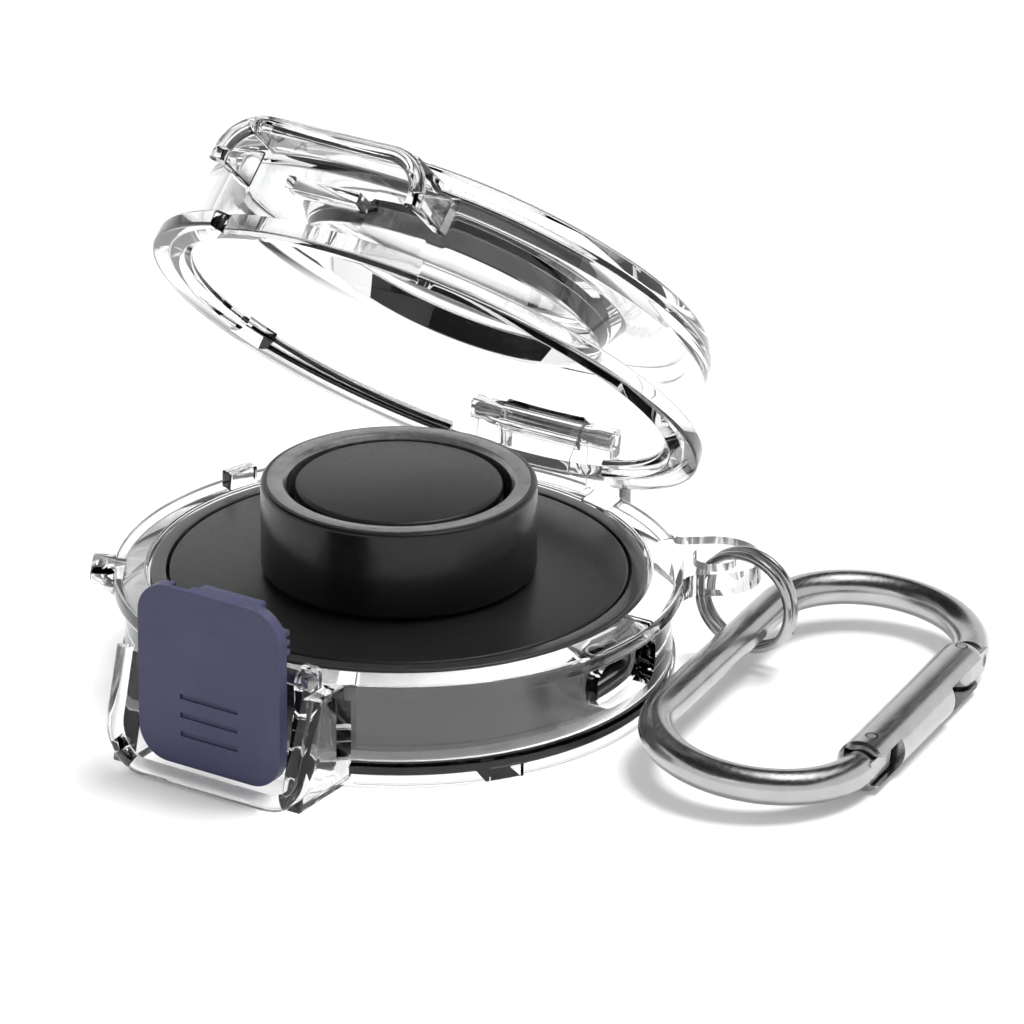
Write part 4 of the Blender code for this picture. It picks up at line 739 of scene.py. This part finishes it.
# Details of the lid, as it stands when it is closed
LID_TOP = 24.0 * MM
LID_SHOULDER_RADIUS = 25.9 * MM
LID_SHOULDER_BASE_RADIUS = 26.9 * MM
LID_CEILING = 22.0 * MM
LID_CEILING_RADIUS = 24.0 * MM
LID_INNER_RADIUS = 24.9 * MM
LID_INNER_TOP = 20.2 * MM
LID_MOUTH_RADIUS = 25.5 * MM
LID_MOUTH_TOP = 12.7 * MM
LID_LIP_RADIUS = 26.4 * MM
LID_FLANGE_ROOT = 13.8 * MM
LID_FLANGE_TOP = 13.5 * MM
DISH_RADIUS = 13.5 * MM
DISH_TOP = 22.9 * MM
DISH_UNDERSIDE = 21.5 * MM
DISH_RAMP_RADIUS = 16.7 * MM
DISH_RIB_ROOT_RADIUS = 17.3 * MM
DISH_RIB_OUTER = 15.7 * MM
DISH_RIB_INNER = 14.9 * MM
DISH_RIB_INNER_ROOT = 14.7 * MM
DISH_RIB_LOW = 18.9 * MM
LID_NOTCH_TOP = 14.1 * MM
LID_FRONT_NOTCH_HALF_ANGLE = 24.4
LID_BACK_NOTCH_HALF_ANGLE = 20.4
BACK_ANGLE = 90
KEY_NOTCH_FIRST_ANGLE = 157.4
KEY_NOTCH_LAST_ANGLE = 166.6
KEY_NOTCH_OUTER = 27.6 * MM
KEY_NOTCH_INNER = 24.5 * MM
KEY_NOTCH_RISE = 2.1 * MM
KNUCKLE_ROOM_RADIUS = 1.85 * MM
KNUCKLE_ROOM_END = SHELL_KNUCKLE_END + 0.3 * MM
KNUCKLE_ROOM_FRONT = 26.75 * MM
LID_KNUCKLE_ROOT = 25.6 * MM


def lid_glass():
    profile = rounded(
        [
            (0, DISH_TOP, 0),
            (DISH_RADIUS, DISH_TOP, 0.3 * MM),
            (DISH_RAMP_RADIUS, LID_TOP, 0.3 * MM),
            (LID_SHOULDER_RADIUS, LID_TOP, 1.0 * MM),
            (LID_SHOULDER_BASE_RADIUS, LID_CEILING, 1.2 * MM),
            (LID_RADIUS, LID_FLANGE_ROOT, 0.3 * MM),
            (LID_FLANGE_RADIUS, LID_FLANGE_TOP, 0.35 * MM),
            (LID_FLANGE_RADIUS, LID_BOTTOM, 0.35 * MM),
            (LID_LIP_RADIUS, LID_BOTTOM, 0.25 * MM),
            (LID_MOUTH_RADIUS, LID_MOUTH_TOP, 0.4 * MM),
            (LID_INNER_RADIUS, LID_INNER_TOP, 0.8 * MM),
            (LID_CEILING_RADIUS, LID_CEILING, 0.8 * MM),
            (DISH_RIB_ROOT_RADIUS, LID_CEILING, 0.2 * MM),
            (DISH_RIB_OUTER, DISH_RIB_LOW, 0.15 * MM),
            (DISH_RIB_INNER, DISH_RIB_LOW, 0.15 * MM),
            (DISH_RIB_INNER_ROOT, DISH_UNDERSIDE, 0.1 * MM),
            (0, DISH_UNDERSIDE, 0),
        ],
        closed=False,
    )
    lid = lathe("lid_glass", profile)
    low = LID_BOTTOM - OVERRUN
    outer = LID_FLANGE_RADIUS + OVERRUN
    notches = []
    for name, middle, half in (
        ("front", FRONT_ANGLE, LID_FRONT_NOTCH_HALF_ANGLE),
        ("back", BACK_ANGLE, LID_BACK_NOTCH_HALF_ANGLE),
    ):
        outline = arc((0, 0), outer, middle - half, middle + half, 24)
        outline += arc((0, 0), LID_RADIUS, middle + half, middle - half, 24)
        notches.append(slab(f"{name}_flange_notch", outline, low, LID_NOTCH_TOP))
    key = arc((0, 0), KEY_NOTCH_OUTER, KEY_NOTCH_FIRST_ANGLE, KEY_NOTCH_LAST_ANGLE, 4)
    key += arc((0, 0), KEY_NOTCH_INNER, KEY_NOTCH_LAST_ANGLE, KEY_NOTCH_FIRST_ANGLE, 4)
    notches.append(slab("key_notch", key, low, RIM_TOP + KEY_NOTCH_RISE))
    reliefs = mirrored(
        lambda name, start, end: rod_x(name, start, end, HINGE, KNUCKLE_ROOM_RADIUS),
        "relief",
        LID_KNUCKLE,
        KNUCKLE_ROOM_END,
    )
    reliefs += mirrored(
        lambda name, start, end: block(
            name, (start, KNUCKLE_ROOM_FRONT, low), (end, outer, HINGE.z)
        ),
        "low_relief",
        LID_KNUCKLE,
        KNUCKLE_ROOM_END,
    )
    cut(lid, *notches, *reliefs)
    outline = arc(HINGE.yz, HINGE_BARREL, -90, 90, 20) + [
        (LID_KNUCKLE_ROOT, HINGE.z + HINGE_BARREL),
        (LID_KNUCKLE_ROOT, HINGE.z - HINGE_BARREL),
    ]
    knuckle = slab("lid_knuckle", outline, -LID_KNUCKLE, LID_KNUCKLE, SIDEWAYS, EDGE)
    join(lid, knuckle, *upper_frame())
    reach = LID_KNUCKLE + OVERRUN
    cut(lid, rod_x("bore", -reach, reach, HINGE, HINGE_BORE))
    lid.data.transform(SWUNG_OPEN)
    dress(lid, CLEAR, "clear_plastic", "lid", "upper_lid")


# The frame round the latch's upper half, with its cheeks, bridge and catch ledge
LID_CHEEK_BACK = -23.6 * MM
LID_CHEEK_TOP = 21.5 * MM
LID_CHEEK_LIFT = 0.05 * MM
LID_CHEEK_INNER = 10.7 * MM
LID_CHEEK_OUTER = 11.9 * MM
BRIDGE_HALF = 9.85 * MM
BRIDGE_RADIUS = 26.2 * MM
BRIDGE_LOW = 20.9 * MM
BRIDGE_HIGH = 22.2 * MM
LEDGE_HALF = 4.2 * MM
LEDGE_FRONT = -29.4 * MM
LEDGE_BACK = -26.5 * MM
LEDGE_LOW = 16.5 * MM
LEDGE_HIGH = 17.9 * MM


def upper_frame():
    base = FRAME_TOP - LID_FRAME_ARM
    path = frame_path(base - LID_FRAME_ARM, base, 0)
    bead = tube("lid_bead", [(x, y, 2 * base - z) for x, y, z in path], BEAD_RADIUS)
    cheek = [
        (LID_CHEEK_BACK, base + LID_CHEEK_LIFT),
        (LID_CHEEK_BACK, LID_CHEEK_TOP),
        (FRAME_Y, FRAME_TOP - FRAME_CORNER),
        (FRAME_Y, base + LID_CHEEK_LIFT),
    ]
    cheeks = mirrored_slabs("lid_cheek", cheek, LID_CHEEK_INNER, LID_CHEEK_OUTER, EDGE)
    spread = math.degrees(math.asin(BRIDGE_HALF / BRIDGE_RADIUS))
    outline = arc((0, 0), BRIDGE_RADIUS, FRONT_ANGLE + spread, FRONT_ANGLE - spread, 12)
    outline += [(-BRIDGE_HALF, FRAME_Y), (BRIDGE_HALF, FRAME_Y)]
    bridge = slab("bridge", outline, BRIDGE_LOW, BRIDGE_HIGH, edge=EDGE)
    ledge = block(
        "ledge",
        (-LEDGE_HALF, LEDGE_FRONT, LEDGE_LOW),
        (LEDGE_HALF, LEDGE_BACK, LEDGE_HIGH),
        edge=EDGE,
    )
    return [bead, *cheeks, bridge, ledge]


# Details of the latch: a thin plate on a narrower back with fins
PLATE_THICKNESS = 1.3 * MM
BACKING_INSET = 1.5 * MM
FIN_COUNT = 3
FIN_PITCH = 1.0 * MM
OVERLAP = 0.1 * MM
FIN_INSET = 0.45 * MM
LATCH_ARM_START = 2.0 * MM
LATCH_ARM_END = 5.0 * MM
LATCH_ARM_HALF_HEIGHT = 1.2 * MM
LATCH_BARREL = 1.5 * MM
LATCH_ROOT_DEPTH = 0.4 * MM
HOOK_HALF = 3.6 * MM
HOOK_BACK = -28.6 * MM
HOOK_LOW = 18.2 * MM
HOOK_HIGH = 19.4 * MM
POCKET_HALF = 1.85 * MM
POCKET_DEPTH = 1.1 * MM
POCKET_LOW = 9.2 * MM
POCKET_HIGH = 14.6 * MM
GRIP_HEIGHTS = (5.2 * MM, 7.2 * MM, 9.2 * MM)
GRIP_HALF = 3.4 * MM
GRIP_RADIUS = 0.28 * MM
NOTCH_START = -4.6 * MM
NOTCH_END = -2.6 * MM
NOTCH_DEPTH = 0.5 * MM


def latch():
    outline = rounded_box(
        (-BUTTON_HALF_WIDTH, BUTTON_BOTTOM),
        (BUTTON_HALF_WIDTH, BUTTON_TOP),
        BUTTON_CORNER,
        steps=12,
    )
    plate_back = BUTTON_FRONT + PLATE_THICKNESS
    plate = slab("latch_plate", outline, -plate_back, -BUTTON_FRONT, FACING_BACK, WIDE_EDGE)
    inner = BUTTON_HALF_WIDTH - BACKING_INSET
    top = BUTTON_TOP - BACKING_INSET
    backing = rounded_box(
        (-inner, BUTTON_BOTTOM + BACKING_INSET),
        (inner, top),
        BUTTON_CORNER - BACKING_INSET,
        steps=8,
    )
    front, back = plate_back - OVERLAP, BUTTON_BACK - OVERLAP
    added = [slab("backing", backing, -BUTTON_BACK, -front, FACING_BACK, FINE_EDGE)]
    reach = BUTTON_HALF_WIDTH - FIN_INSET
    for i in range(FIN_COUNT):
        height = top - BUTTON_CORNER + FIN_PITCH * i
        low_corner, high_corner = (-reach, front, height), (reach, back, height + FIN_PITCH / 2)
        added.append(block(f"fin_{i}", low_corner, high_corner))
    root = BUTTON_BACK - LATCH_ROOT_DEPTH
    low, high = LATCH_AXIS.z - LATCH_ARM_HALF_HEIGHT, LATCH_AXIS.z + LATCH_ARM_HALF_HEIGHT
    for side, name in ((-1, "left"), (1, "right")):
        start, end = sorted((side * LATCH_ARM_START, side * LATCH_ARM_END))
        added.append(rod_x(f"rib_{name}", start, end, LATCH_AXIS, LATCH_BARREL))
        added.append(block(f"arm_{name}", (start, root, low), (end, LATCH_AXIS.y, high)))
    hook = block(
        "hook",
        (-HOOK_HALF, root, HOOK_LOW),
        (HOOK_HALF, HOOK_BACK, HOOK_HIGH),
        edge=EDGE,
    )
    join(plate, *added, hook)
    pocket = block(
        "pocket",
        (-POCKET_HALF, BUTTON_BACK - POCKET_DEPTH, POCKET_LOW),
        (POCKET_HALF, BUTTON_BACK + OVERRUN, POCKET_HIGH),
    )
    reach = LATCH_ARM_END + OVERRUN
    bore = rod_x("bore", -reach, reach, LATCH_AXIS, PIN_BORE)
    grips = []
    for i, height in enumerate(GRIP_HEIGHTS):
        ends = [(-GRIP_HALF, BUTTON_FRONT, height), (GRIP_HALF, BUTTON_FRONT, height)]
        grips.append(tube(f"grip_{i}", ends, GRIP_RADIUS, sides=12))
    notch = block(
        "notch",
        (NOTCH_START, BUTTON_FRONT + NOTCH_DEPTH, BUTTON_TOP - NOTCH_DEPTH),
        (NOTCH_END, plate_back + OVERRUN, BUTTON_TOP + OVERRUN),
    )
    cut(plate, pocket, bore, notch, *grips)
    dress(plate, VIOLET, "violet_plastic", "latch", "latch_button")


# Details of the dock
DOCK_PORT_HALF_WIDTH = 4.8 * MM
DOCK_PORT_HALF_HEIGHT = 1.9 * MM
DOCK_PORT_CORNER = 1.6 * MM
PILLAR_LIFT = 0.3 * MM
SPIGOT_RADIUS = 9.0 * MM
SPIGOT_LENGTH = 2.9 * MM
CAP_BOTTOM = 19.9 * MM
CAP_SPIGOT_RADIUS = 7.2 * MM
CAP_SPIGOT_BOTTOM = 19.1 * MM


def dock():
    profile = rounded(
        [
            (DOCK_INNER_RADIUS, DOCK_TOP, 0.1 * MM),
            (DOCK_RADIUS, DOCK_TOP, 0.35 * MM),
            (DOCK_RADIUS, DOCK_BOTTOM, 0.35 * MM),
            (DOCK_INNER_RADIUS, DOCK_BOTTOM, 0.2 * MM),
        ]
    )
    housing = lathe("dock_wall", profile, closed=True)
    port = rounded_box(
        (-DOCK_PORT_HALF_WIDTH, PORT_Z - DOCK_PORT_HALF_HEIGHT),
        (DOCK_PORT_HALF_WIDTH, PORT_Z + DOCK_PORT_HALF_HEIGHT),
        DOCK_PORT_CORNER,
        steps=8,
    )
    cut(housing, slab("port", port, DOCK_INNER_RADIUS - OVERRUN, DOCK_RADIUS + OVERRUN, SIDEWAYS))
    # The wall gets the lighter copy of the black plastic, whose extra brightness is painted
    # light.
    dress(housing, PAINTED_LIT_BLACK, "side_grey", "base", "dock_housing")
    profile = rounded(
        [
            (SPIGOT_HOLE_RADIUS, DOCK_TOP, 0),
            (TOP_PLATE_RADIUS, DOCK_TOP, 0.25 * MM),
            (TOP_PLATE_RADIUS, TOP_PLATE_BOTTOM, 0),
            (SPIGOT_HOLE_RADIUS, TOP_PLATE_BOTTOM, 0),
        ]
    )
    top = lathe("dock_face", profile, closed=True)
    dress(top, MATT_BLACK, "matt_black", "base", "dock_top_plate")
    profile = rounded(
        [
            (PILLAR_BORE, PILLAR_SPLIT, 0),
            (PILLAR_RADIUS, PILLAR_SPLIT, 0.15 * MM),
            (PILLAR_RADIUS, DOCK_TOP + PILLAR_LIFT, 0.1 * MM),
            (SPIGOT_RADIUS, DOCK_TOP + PILLAR_LIFT, 0),
            (SPIGOT_RADIUS, DOCK_TOP - SPIGOT_LENGTH, 0),
            (PILLAR_BORE, DOCK_TOP - SPIGOT_LENGTH, 0),
        ]
    )
    pillar = lathe("pillar_wall", profile, closed=True)
    dress(pillar, MATT_BLACK, "matt_black", "base", "dock_pillar")
    profile = rounded(
        [
            (0, PILLAR_TOP, 0),
            (PILLAR_RADIUS, PILLAR_TOP, 0.5 * MM),
            (PILLAR_RADIUS, CAP_BOTTOM, 0.1 * MM),
            (CAP_SPIGOT_RADIUS, CAP_BOTTOM, 0),
            (CAP_SPIGOT_RADIUS, CAP_SPIGOT_BOTTOM, 0),
            (0, CAP_SPIGOT_BOTTOM, 0),
        ],
        closed=False,
    )
    cap = lathe("pillar_lid", profile)
    dress(cap, MATT_BLACK, "matt_black", "base", "pillar_cap")


# Details of the smart ring's two edges and its rim
RIM_RADIUS = 13.2 * MM
RING_EDGE_SLOPE = 0.2 * MM
BORE_CHAMFER = 0.35 * MM
RIM_INNER_STEP = 0.4 * MM
RIM_INNER_DROP = 0.08 * MM
RIM_THICKNESS = 0.15 * MM
RIM_ROOT_DROP = 0.3 * MM


def smart_ring():
    top, bottom = RING_TOP - RING_EDGE_SLOPE, RING_BOTTOM + RING_EDGE_SLOPE
    profile = rounded(
        [
            (RING_SEAM_RADIUS, top, 0.05 * MM),
            (RING_RADIUS, RING_TOP, 0.45 * MM),
            (RING_RADIUS, RING_BOTTOM, 0.45 * MM),
            (RING_SEAM_RADIUS, bottom, 0.05 * MM),
        ]
    )
    shell = lathe("ring_band", profile, closed=True)
    dress(shell, GLOSS_BLACK, "gloss_black", "smart_ring", "ring_shell")
    profile = rounded(
        [
            (RING_BORE, top - BORE_CHAMFER, 0.1 * MM),
            (RING_BORE + RIM_INNER_STEP, RING_TOP - RIM_INNER_DROP, 0.12 * MM),
            (RIM_RADIUS, RING_TOP, 0.03 * MM),
            (RIM_RADIUS, RING_TOP - RIM_THICKNESS, 0),
            (LINER_RADIUS, RING_TOP - RIM_ROOT_DROP, 0),
            (LINER_RADIUS, bottom, 0.12 * MM),
            (RING_BORE, bottom + BORE_CHAMFER, 0.1 * MM),
        ]
    )
    liner = lathe("ring_lining", profile, closed=True)
    dress(liner, LINER_GREY, "liner_grey", "smart_ring", "ring_liner")


# The split ring's coil. Its offset is from the lug's hole, and its height from the ground
COIL_RADIUS = 5.2 * MM
COIL_PITCH = 1.4 * MM
COIL_TURNS = 2
COIL_STEPS = 72
COIL_HEIGHT = 7.3 * MM
COIL_OFFSET = 3.8 * MM
COIL_YAW = 3.7
WIRE_RADIUS = 0.45 * MM


def split_ring():
    drop = COIL_HEIGHT - (RIM_TOP - LUG_THICKNESS / 2)
    across = math.sqrt(COIL_RADIUS**2 - drop**2)
    at_hole = math.atan2(-drop, -across)
    steps = COIL_TURNS * COIL_STEPS
    points = []
    for i in range(steps + 1):
        share = i / steps
        angle = at_hole - math.pi + 2 * math.pi * COIL_TURNS * share
        x = COIL_OFFSET + COIL_RADIUS * math.cos(angle)
        z = COIL_HEIGHT + COIL_RADIUS * math.sin(angle)
        points.append((x, COIL_PITCH * COIL_TURNS * (share - 0.5), z))
    place = Matrix.Translation(about_z(LUG_ANGLE, LUG_REACH).translation)
    place @= Matrix.Rotation(math.radians(COIL_YAW), 4, "Z")
    ring = tube("key_ring", points, WIRE_RADIUS, sides=14, matrix=place)
    dress(ring, WIRE_STEEL, "satin_steel", "link", "split_ring")


# Details of the carabiner's rod and gate, in the carabiner's own frame
END_CLEARANCE = 0.3 * MM
TONGUE_OVERLAP = 0.8 * MM
NOSE_TONGUE_LENGTH = 3.5 * MM
RIVET_BORE = 0.65 * MM
NOSE_SLOT_HALF = 0.8 * MM
GATE_CHAMFER = 0.3 * MM
HINGE_SLOT_LENGTH = 7.35 * MM
NOSE_SLOT_LENGTH = 5.0 * MM
BEHIND_START = 0.3 * MM
BEHIND_OVERLAP = 0.4 * MM


def cross_bore(name, y, half):
    """A rod through the gate's line, across the carabiner's plane."""
    return tube(name, [(GATE_X, y, -half), (GATE_X, y, half)], RIVET_BORE)


def carabiner_rod():
    tongue_start = RIVET_Y + GATE_RADIUS + END_CLEARANCE
    nose_start = NOSE_END - END_CLEARANCE
    first = math.degrees(math.asin((tongue_start - HALF_STRAIGHT) / BEND))
    last = math.degrees(math.asin((nose_start + HALF_STRAIGHT) / BEND))
    flat = arc((BEND, HALF_STRAIGHT), BEND, first, 180, 40)
    flat += arc((BEND, -HALF_STRAIGHT), BEND, 180, 360 + last, 40)
    body = tube("carabiner_rod", [(x, y, 0) for x, y in flat], ROD_RADIUS, sides=32)
    left, right = GATE_X - TONGUE_RADIUS, GATE_X + TONGUE_RADIUS
    root = tongue_start + TONGUE_OVERLAP
    eye = arc((GATE_X, RIVET_Y), TONGUE_RADIUS, 180, 360, 16) + [(right, root), (left, root)]
    nose_tongue = block(
        "nose_tongue",
        (left, nose_start - TONGUE_OVERLAP, -TONGUE_HALF),
        (right, NOSE_TONGUE_LENGTH - HALF_STRAIGHT, TONGUE_HALF),
        edge=FINE_EDGE,
    )
    join(body, slab("hinge_tongue", eye, -TONGUE_HALF, TONGUE_HALF), nose_tongue)
    past = TONGUE_HALF + OVERRUN
    slot = block(
        "slot",
        (left - OVERRUN, NOSE_PIN_Y - NOSE_SLOT_HALF, -past),
        (GATE_X + NOSE_SLOT_HALF, NOSE_PIN_Y + NOSE_SLOT_HALF, past),
    )
    cut(body, cross_bore("bore", RIVET_Y, past), slot)
    body.data.transform(ON_CARABINER)
    dress(body, ROD_STEEL, "satin_steel", "carabiner", "carabiner_body")


def carabiner_gate():
    profile = [(x, y + RIVET_Y) for x, y in arc((0, 0), GATE_RADIUS, 90, 0, 14)]
    profile[0] = (0, profile[0][1])
    profile += [
        (GATE_RADIUS, NOSE_END + GATE_CHAMFER),
        (GATE_RADIUS - GATE_CHAMFER, NOSE_END),
        (0, NOSE_END),
    ]
    place = Matrix.Translation((GATE_X, 0, 0)) @ ALONG_Y
    gate = lathe("gate_bar", profile, steps=64, matrix=place)
    floor_x = GATE_X - GATE_SLOT_FLOOR
    past = GATE_RADIUS + OVERRUN
    hinge_slot = block(
        "hinge_slot",
        (floor_x, RIVET_Y - HINGE_SLOT_LENGTH, -GATE_SLOT_HALF),
        (GATE_X + past, RIVET_Y + past, GATE_SLOT_HALF),
    )
    nose_slot = block(
        "nose_slot",
        (floor_x, NOSE_END - OVERRUN, -GATE_SLOT_HALF),
        (GATE_X + past, NOSE_END + NOSE_SLOT_LENGTH, GATE_SLOT_HALF),
    )
    behind = block(
        "behind",
        (GATE_X - past, RIVET_Y - BEHIND_START, -GATE_SLOT_HALF),
        (floor_x + BEHIND_OVERLAP, RIVET_Y + past, GATE_SLOT_HALF),
    )
    bores = [cross_bore("bore", RIVET_Y, past), cross_bore("pin_bore", NOSE_PIN_Y, past)]
    cut(gate, hinge_slot, nose_slot, behind, *bores)
    gate.data.transform(ON_CARABINER)
    dress(gate, ROD_STEEL, "satin_steel", "gate", "carabiner_gate")


# The solids that keep their own meshes, and their looks
PAINT = {
    "hinge_pin": PIN_STEEL,
    "latch_pin": PIN_STEEL,
    "cover_screw_1": PIN_STEEL,
    "cover_screw_2": PIN_STEEL,
    "cover_screw_3": PIN_STEEL,
    "gate_rivet": PIN_STEEL,
    "gate_nose_pin": PIN_STEEL,
    "usb_socket": PIN_STEEL,
    "latch_spring": SPRING_STEEL,
    "gate_spring": SPRING_STEEL,
    "dock_base_cover": MATT_BLACK,
    "dock_foot_pad": RUBBER,
    "circuit_board": BOARD_GREEN,
    "charge_coil": COPPER,
    "ferrite_core": FERRITE,
}


def paint_solids():
    for node, material in PAINT.items():
        obj = NODES[node]
        obj.data.materials.clear()
        obj.data.materials.append(material)


# Camera, as fitted to the photograph
CAMERA_AZIMUTH = 33.69
CAMERA_ELEVATION = 24.16
CAMERA_DISTANCE = 732.6 * MM
FOCAL_PIXELS = 7290.2
AIM_PIXEL = (398.98, 566.0)
FRAME_PIXELS = 1024
SENSOR = 36.0
CLIP_START = 0.05
CLIP_END = 20


def camera():
    azimuth, elevation = math.radians(CAMERA_AZIMUTH), math.radians(CAMERA_ELEVATION)
    back = Vector(
        (
            math.sin(azimuth) * math.cos(elevation),
            -math.cos(azimuth) * math.cos(elevation),
            math.sin(elevation),
        )
    )
    right = Vector((math.cos(azimuth), math.sin(azimuth), 0))
    up = back.cross(right)
    middle = FRAME_PIXELS / 2
    across = (middle - AIM_PIXEL[0]) / FOCAL_PIXELS
    above = (AIM_PIXEL[1] - middle) / FOCAL_PIXELS
    view = (-back + right * across + up * above).normalized()
    data = bpy.data.cameras.new("camera")
    data.sensor_width = SENSOR
    data.lens = FOCAL_PIXELS / FRAME_PIXELS * SENSOR
    data.clip_start = CLIP_START
    data.clip_end = CLIP_END
    obj = link(bpy.data.objects.new("camera", data))
    level = view.cross(up).normalized()
    turn = Matrix((level, level.cross(view), -view)).transposed()
    place = Vector((0, 0, DOCK_TOP)) + back * CAMERA_DISTANCE
    obj.matrix_world = Matrix.Translation(place) @ turn.to_4x4()
    SCENE.camera = obj


# Lights: a name, a place in metres to the right, forward and up, a size and a power
LIGHTS = (
    ("key", (0.35, 0.05, 0.9), 0.4, 9.5),
    ("fill", (-0.5, -0.6, 0.7), 0.7, 1.5),
)
LIT_POINT = Vector((0.01, 0, 0.02))

# Brightness of the room and the floor, where 1 is white
ROOM_LIGHT = 0.5
ROOM_SEEN = 1.0
ROOM_THROUGH_GLASS = 0.08
FLOOR_GREY = 0.8
FLOOR_GLOW = 0.12

# Where the floor is, and from where to where it turns dark for bent rays
FLOOR_DROP = 0.05 * MM
FLOOR_RADIUS = 3.0
FLOOR_FADE_START = 0.15
FLOOR_FADE_END = 0.21

# A dark card above the case, which shows in reflections and through clear plastic only
CARD_HEIGHT = 0.25
CARD_SIZE = 0.8
CARD_SHADE = 0.01


def facing_camera():
    """The turn about Z that brings X and Y to the camera's right and forward directions."""
    return Matrix.Rotation(math.radians(CAMERA_AZIMUTH), 4, "Z")


def area_light(name, place, size, power):
    data = bpy.data.lights.new(name, "AREA")
    data.shape = "RECTANGLE"
    data.size = size
    data.size_y = size
    data.energy = power
    obj = link(bpy.data.objects.new(name, data))
    obj.location = facing_camera() @ Vector(place)
    obj.rotation_euler = (LIT_POINT - obj.location).to_track_quat("-Z", "Y").to_euler()


def only_bent(tree, paths):
    """1 for a ray that clear plastic has bent and nothing has reflected."""
    bent, reflections = paths.outputs["Is Transmission Ray"], paths.outputs["Glossy Depth"]
    return calculate(tree, "SUBTRACT", bent, reflections, clamp=True)


def world():
    made = bpy.data.worlds.new("studio")
    SCENE.world = made
    made.use_nodes = True
    tree = made.node_tree
    background = tree.nodes["Background"]
    paths = tree.nodes.new("ShaderNodeLightPath")
    camera_ray, glossy_ray = paths.outputs["Is Camera Ray"], paths.outputs["Is Glossy Ray"]
    strength = tree.nodes.new("ShaderNodeMapRange")
    strength.inputs["To Min"].default_value = ROOM_LIGHT
    strength.inputs["To Max"].default_value = ROOM_SEEN
    seen = calculate(tree, "MAXIMUM", camera_ray, glossy_ray)
    tree.links.new(seen, strength.inputs["Value"])
    bent = tree.nodes.new("ShaderNodeMix")
    bent.inputs["B"].default_value = ROOM_THROUGH_GLASS
    tree.links.new(only_bent(tree, paths), bent.inputs["Factor"])
    tree.links.new(strength.outputs["Result"], bent.inputs["A"])
    tree.links.new(bent.outputs["Result"], background.inputs["Strength"])
    background.inputs["Color"].default_value = (1, 1, 1, 1)


def emission(tree, strength):
    """A white glow, whose strength is a number or comes from a socket."""
    glow = tree.nodes.new("ShaderNodeEmission")
    glow.inputs["Color"].default_value = (1, 1, 1, 1)
    feed(tree, strength, glow.inputs["Strength"])
    return glow.outputs[0]


def bare_material(name):
    """A material without a shader, its nodes and the socket that its surface goes to."""
    made = bpy.data.materials.new(name)
    made.use_nodes = True
    tree = made.node_tree
    tree.nodes.clear()
    return made, tree, tree.nodes.new("ShaderNodeOutputMaterial").inputs["Surface"]


def floor_material():
    """Matt white with a faint glow, and dark far out for rays that clear plastic has bent."""
    made, tree, surface = bare_material("floor")
    matt = tree.nodes.new("ShaderNodeBsdfDiffuse")
    matt.inputs["Color"].default_value = (FLOOR_GREY, FLOOR_GREY, FLOOR_GREY, 1)
    paths = tree.nodes.new("ShaderNodeLightPath")
    seen = paths.outputs["Is Camera Ray"]
    for kind in ("Is Transmission Ray", "Is Glossy Ray"):
        seen = calculate(tree, "MAXIMUM", seen, paths.outputs[kind])
    near = tree.nodes.new("ShaderNodeAddShader")
    tree.links.new(matt.outputs[0], near.inputs[0])
    tree.links.new(emission(tree, calculate(tree, "MULTIPLY", seen, FLOOR_GLOW)), near.inputs[1])
    place = tree.nodes.new("ShaderNodeTexCoord")
    distance = tree.nodes.new("ShaderNodeVectorMath")
    distance.operation = "LENGTH"
    tree.links.new(place.outputs["Object"], distance.inputs[0])
    far = tree.nodes.new("ShaderNodeMapRange")
    far.inputs["From Min"].default_value = FLOOR_FADE_START
    far.inputs["From Max"].default_value = FLOOR_FADE_END
    tree.links.new(distance.outputs["Value"], far.inputs["Value"])
    dark = calculate(tree, "MULTIPLY", far.outputs["Result"], only_bent(tree, paths))
    dim = emission(tree, ROOM_THROUGH_GLASS)
    tree.links.new(mix_shaders(tree, dark, near.outputs[0], dim), surface)
    return made


def floor():
    bm = bmesh.new()
    bmesh.ops.create_circle(bm, cap_ends=True, segments=96, radius=FLOOR_RADIUS)
    obj = finished("floor", bm, Matrix.Translation((0, 0, -FLOOR_DROP)))
    obj.data.materials.append(floor_material())


def card_above():
    half = CARD_SIZE / 2
    bm = bmesh.new()
    corners = [(-half, -half, 0), (half, -half, 0), (half, half, 0), (-half, half, 0)]
    bm.faces.new([bm.verts.new(corner) for corner in corners])
    obj = finished("card_above", bm, Matrix.Translation((0, 0, CARD_HEIGHT)) @ facing_camera())
    made, tree, surface = bare_material("card_above")
    tree.links.new(emission(tree, CARD_SHADE), surface)
    obj.data.materials.append(made)
    obj.visible_camera = False
    obj.visible_diffuse = False
    obj.visible_shadow = False
    obj.visible_glossy = True


def studio():
    world()
    floor()
    for name, place, size, power in LIGHTS:
        area_light(name, place, size, power)
    card_above()


shell_glass()
lid_glass()
latch()
dock()
smart_ring()
split_ring()
carabiner_rod()
carabiner_gate()
paint_solids()
camera()
studio()
SCENE.view_settings.view_transform = "Standard"
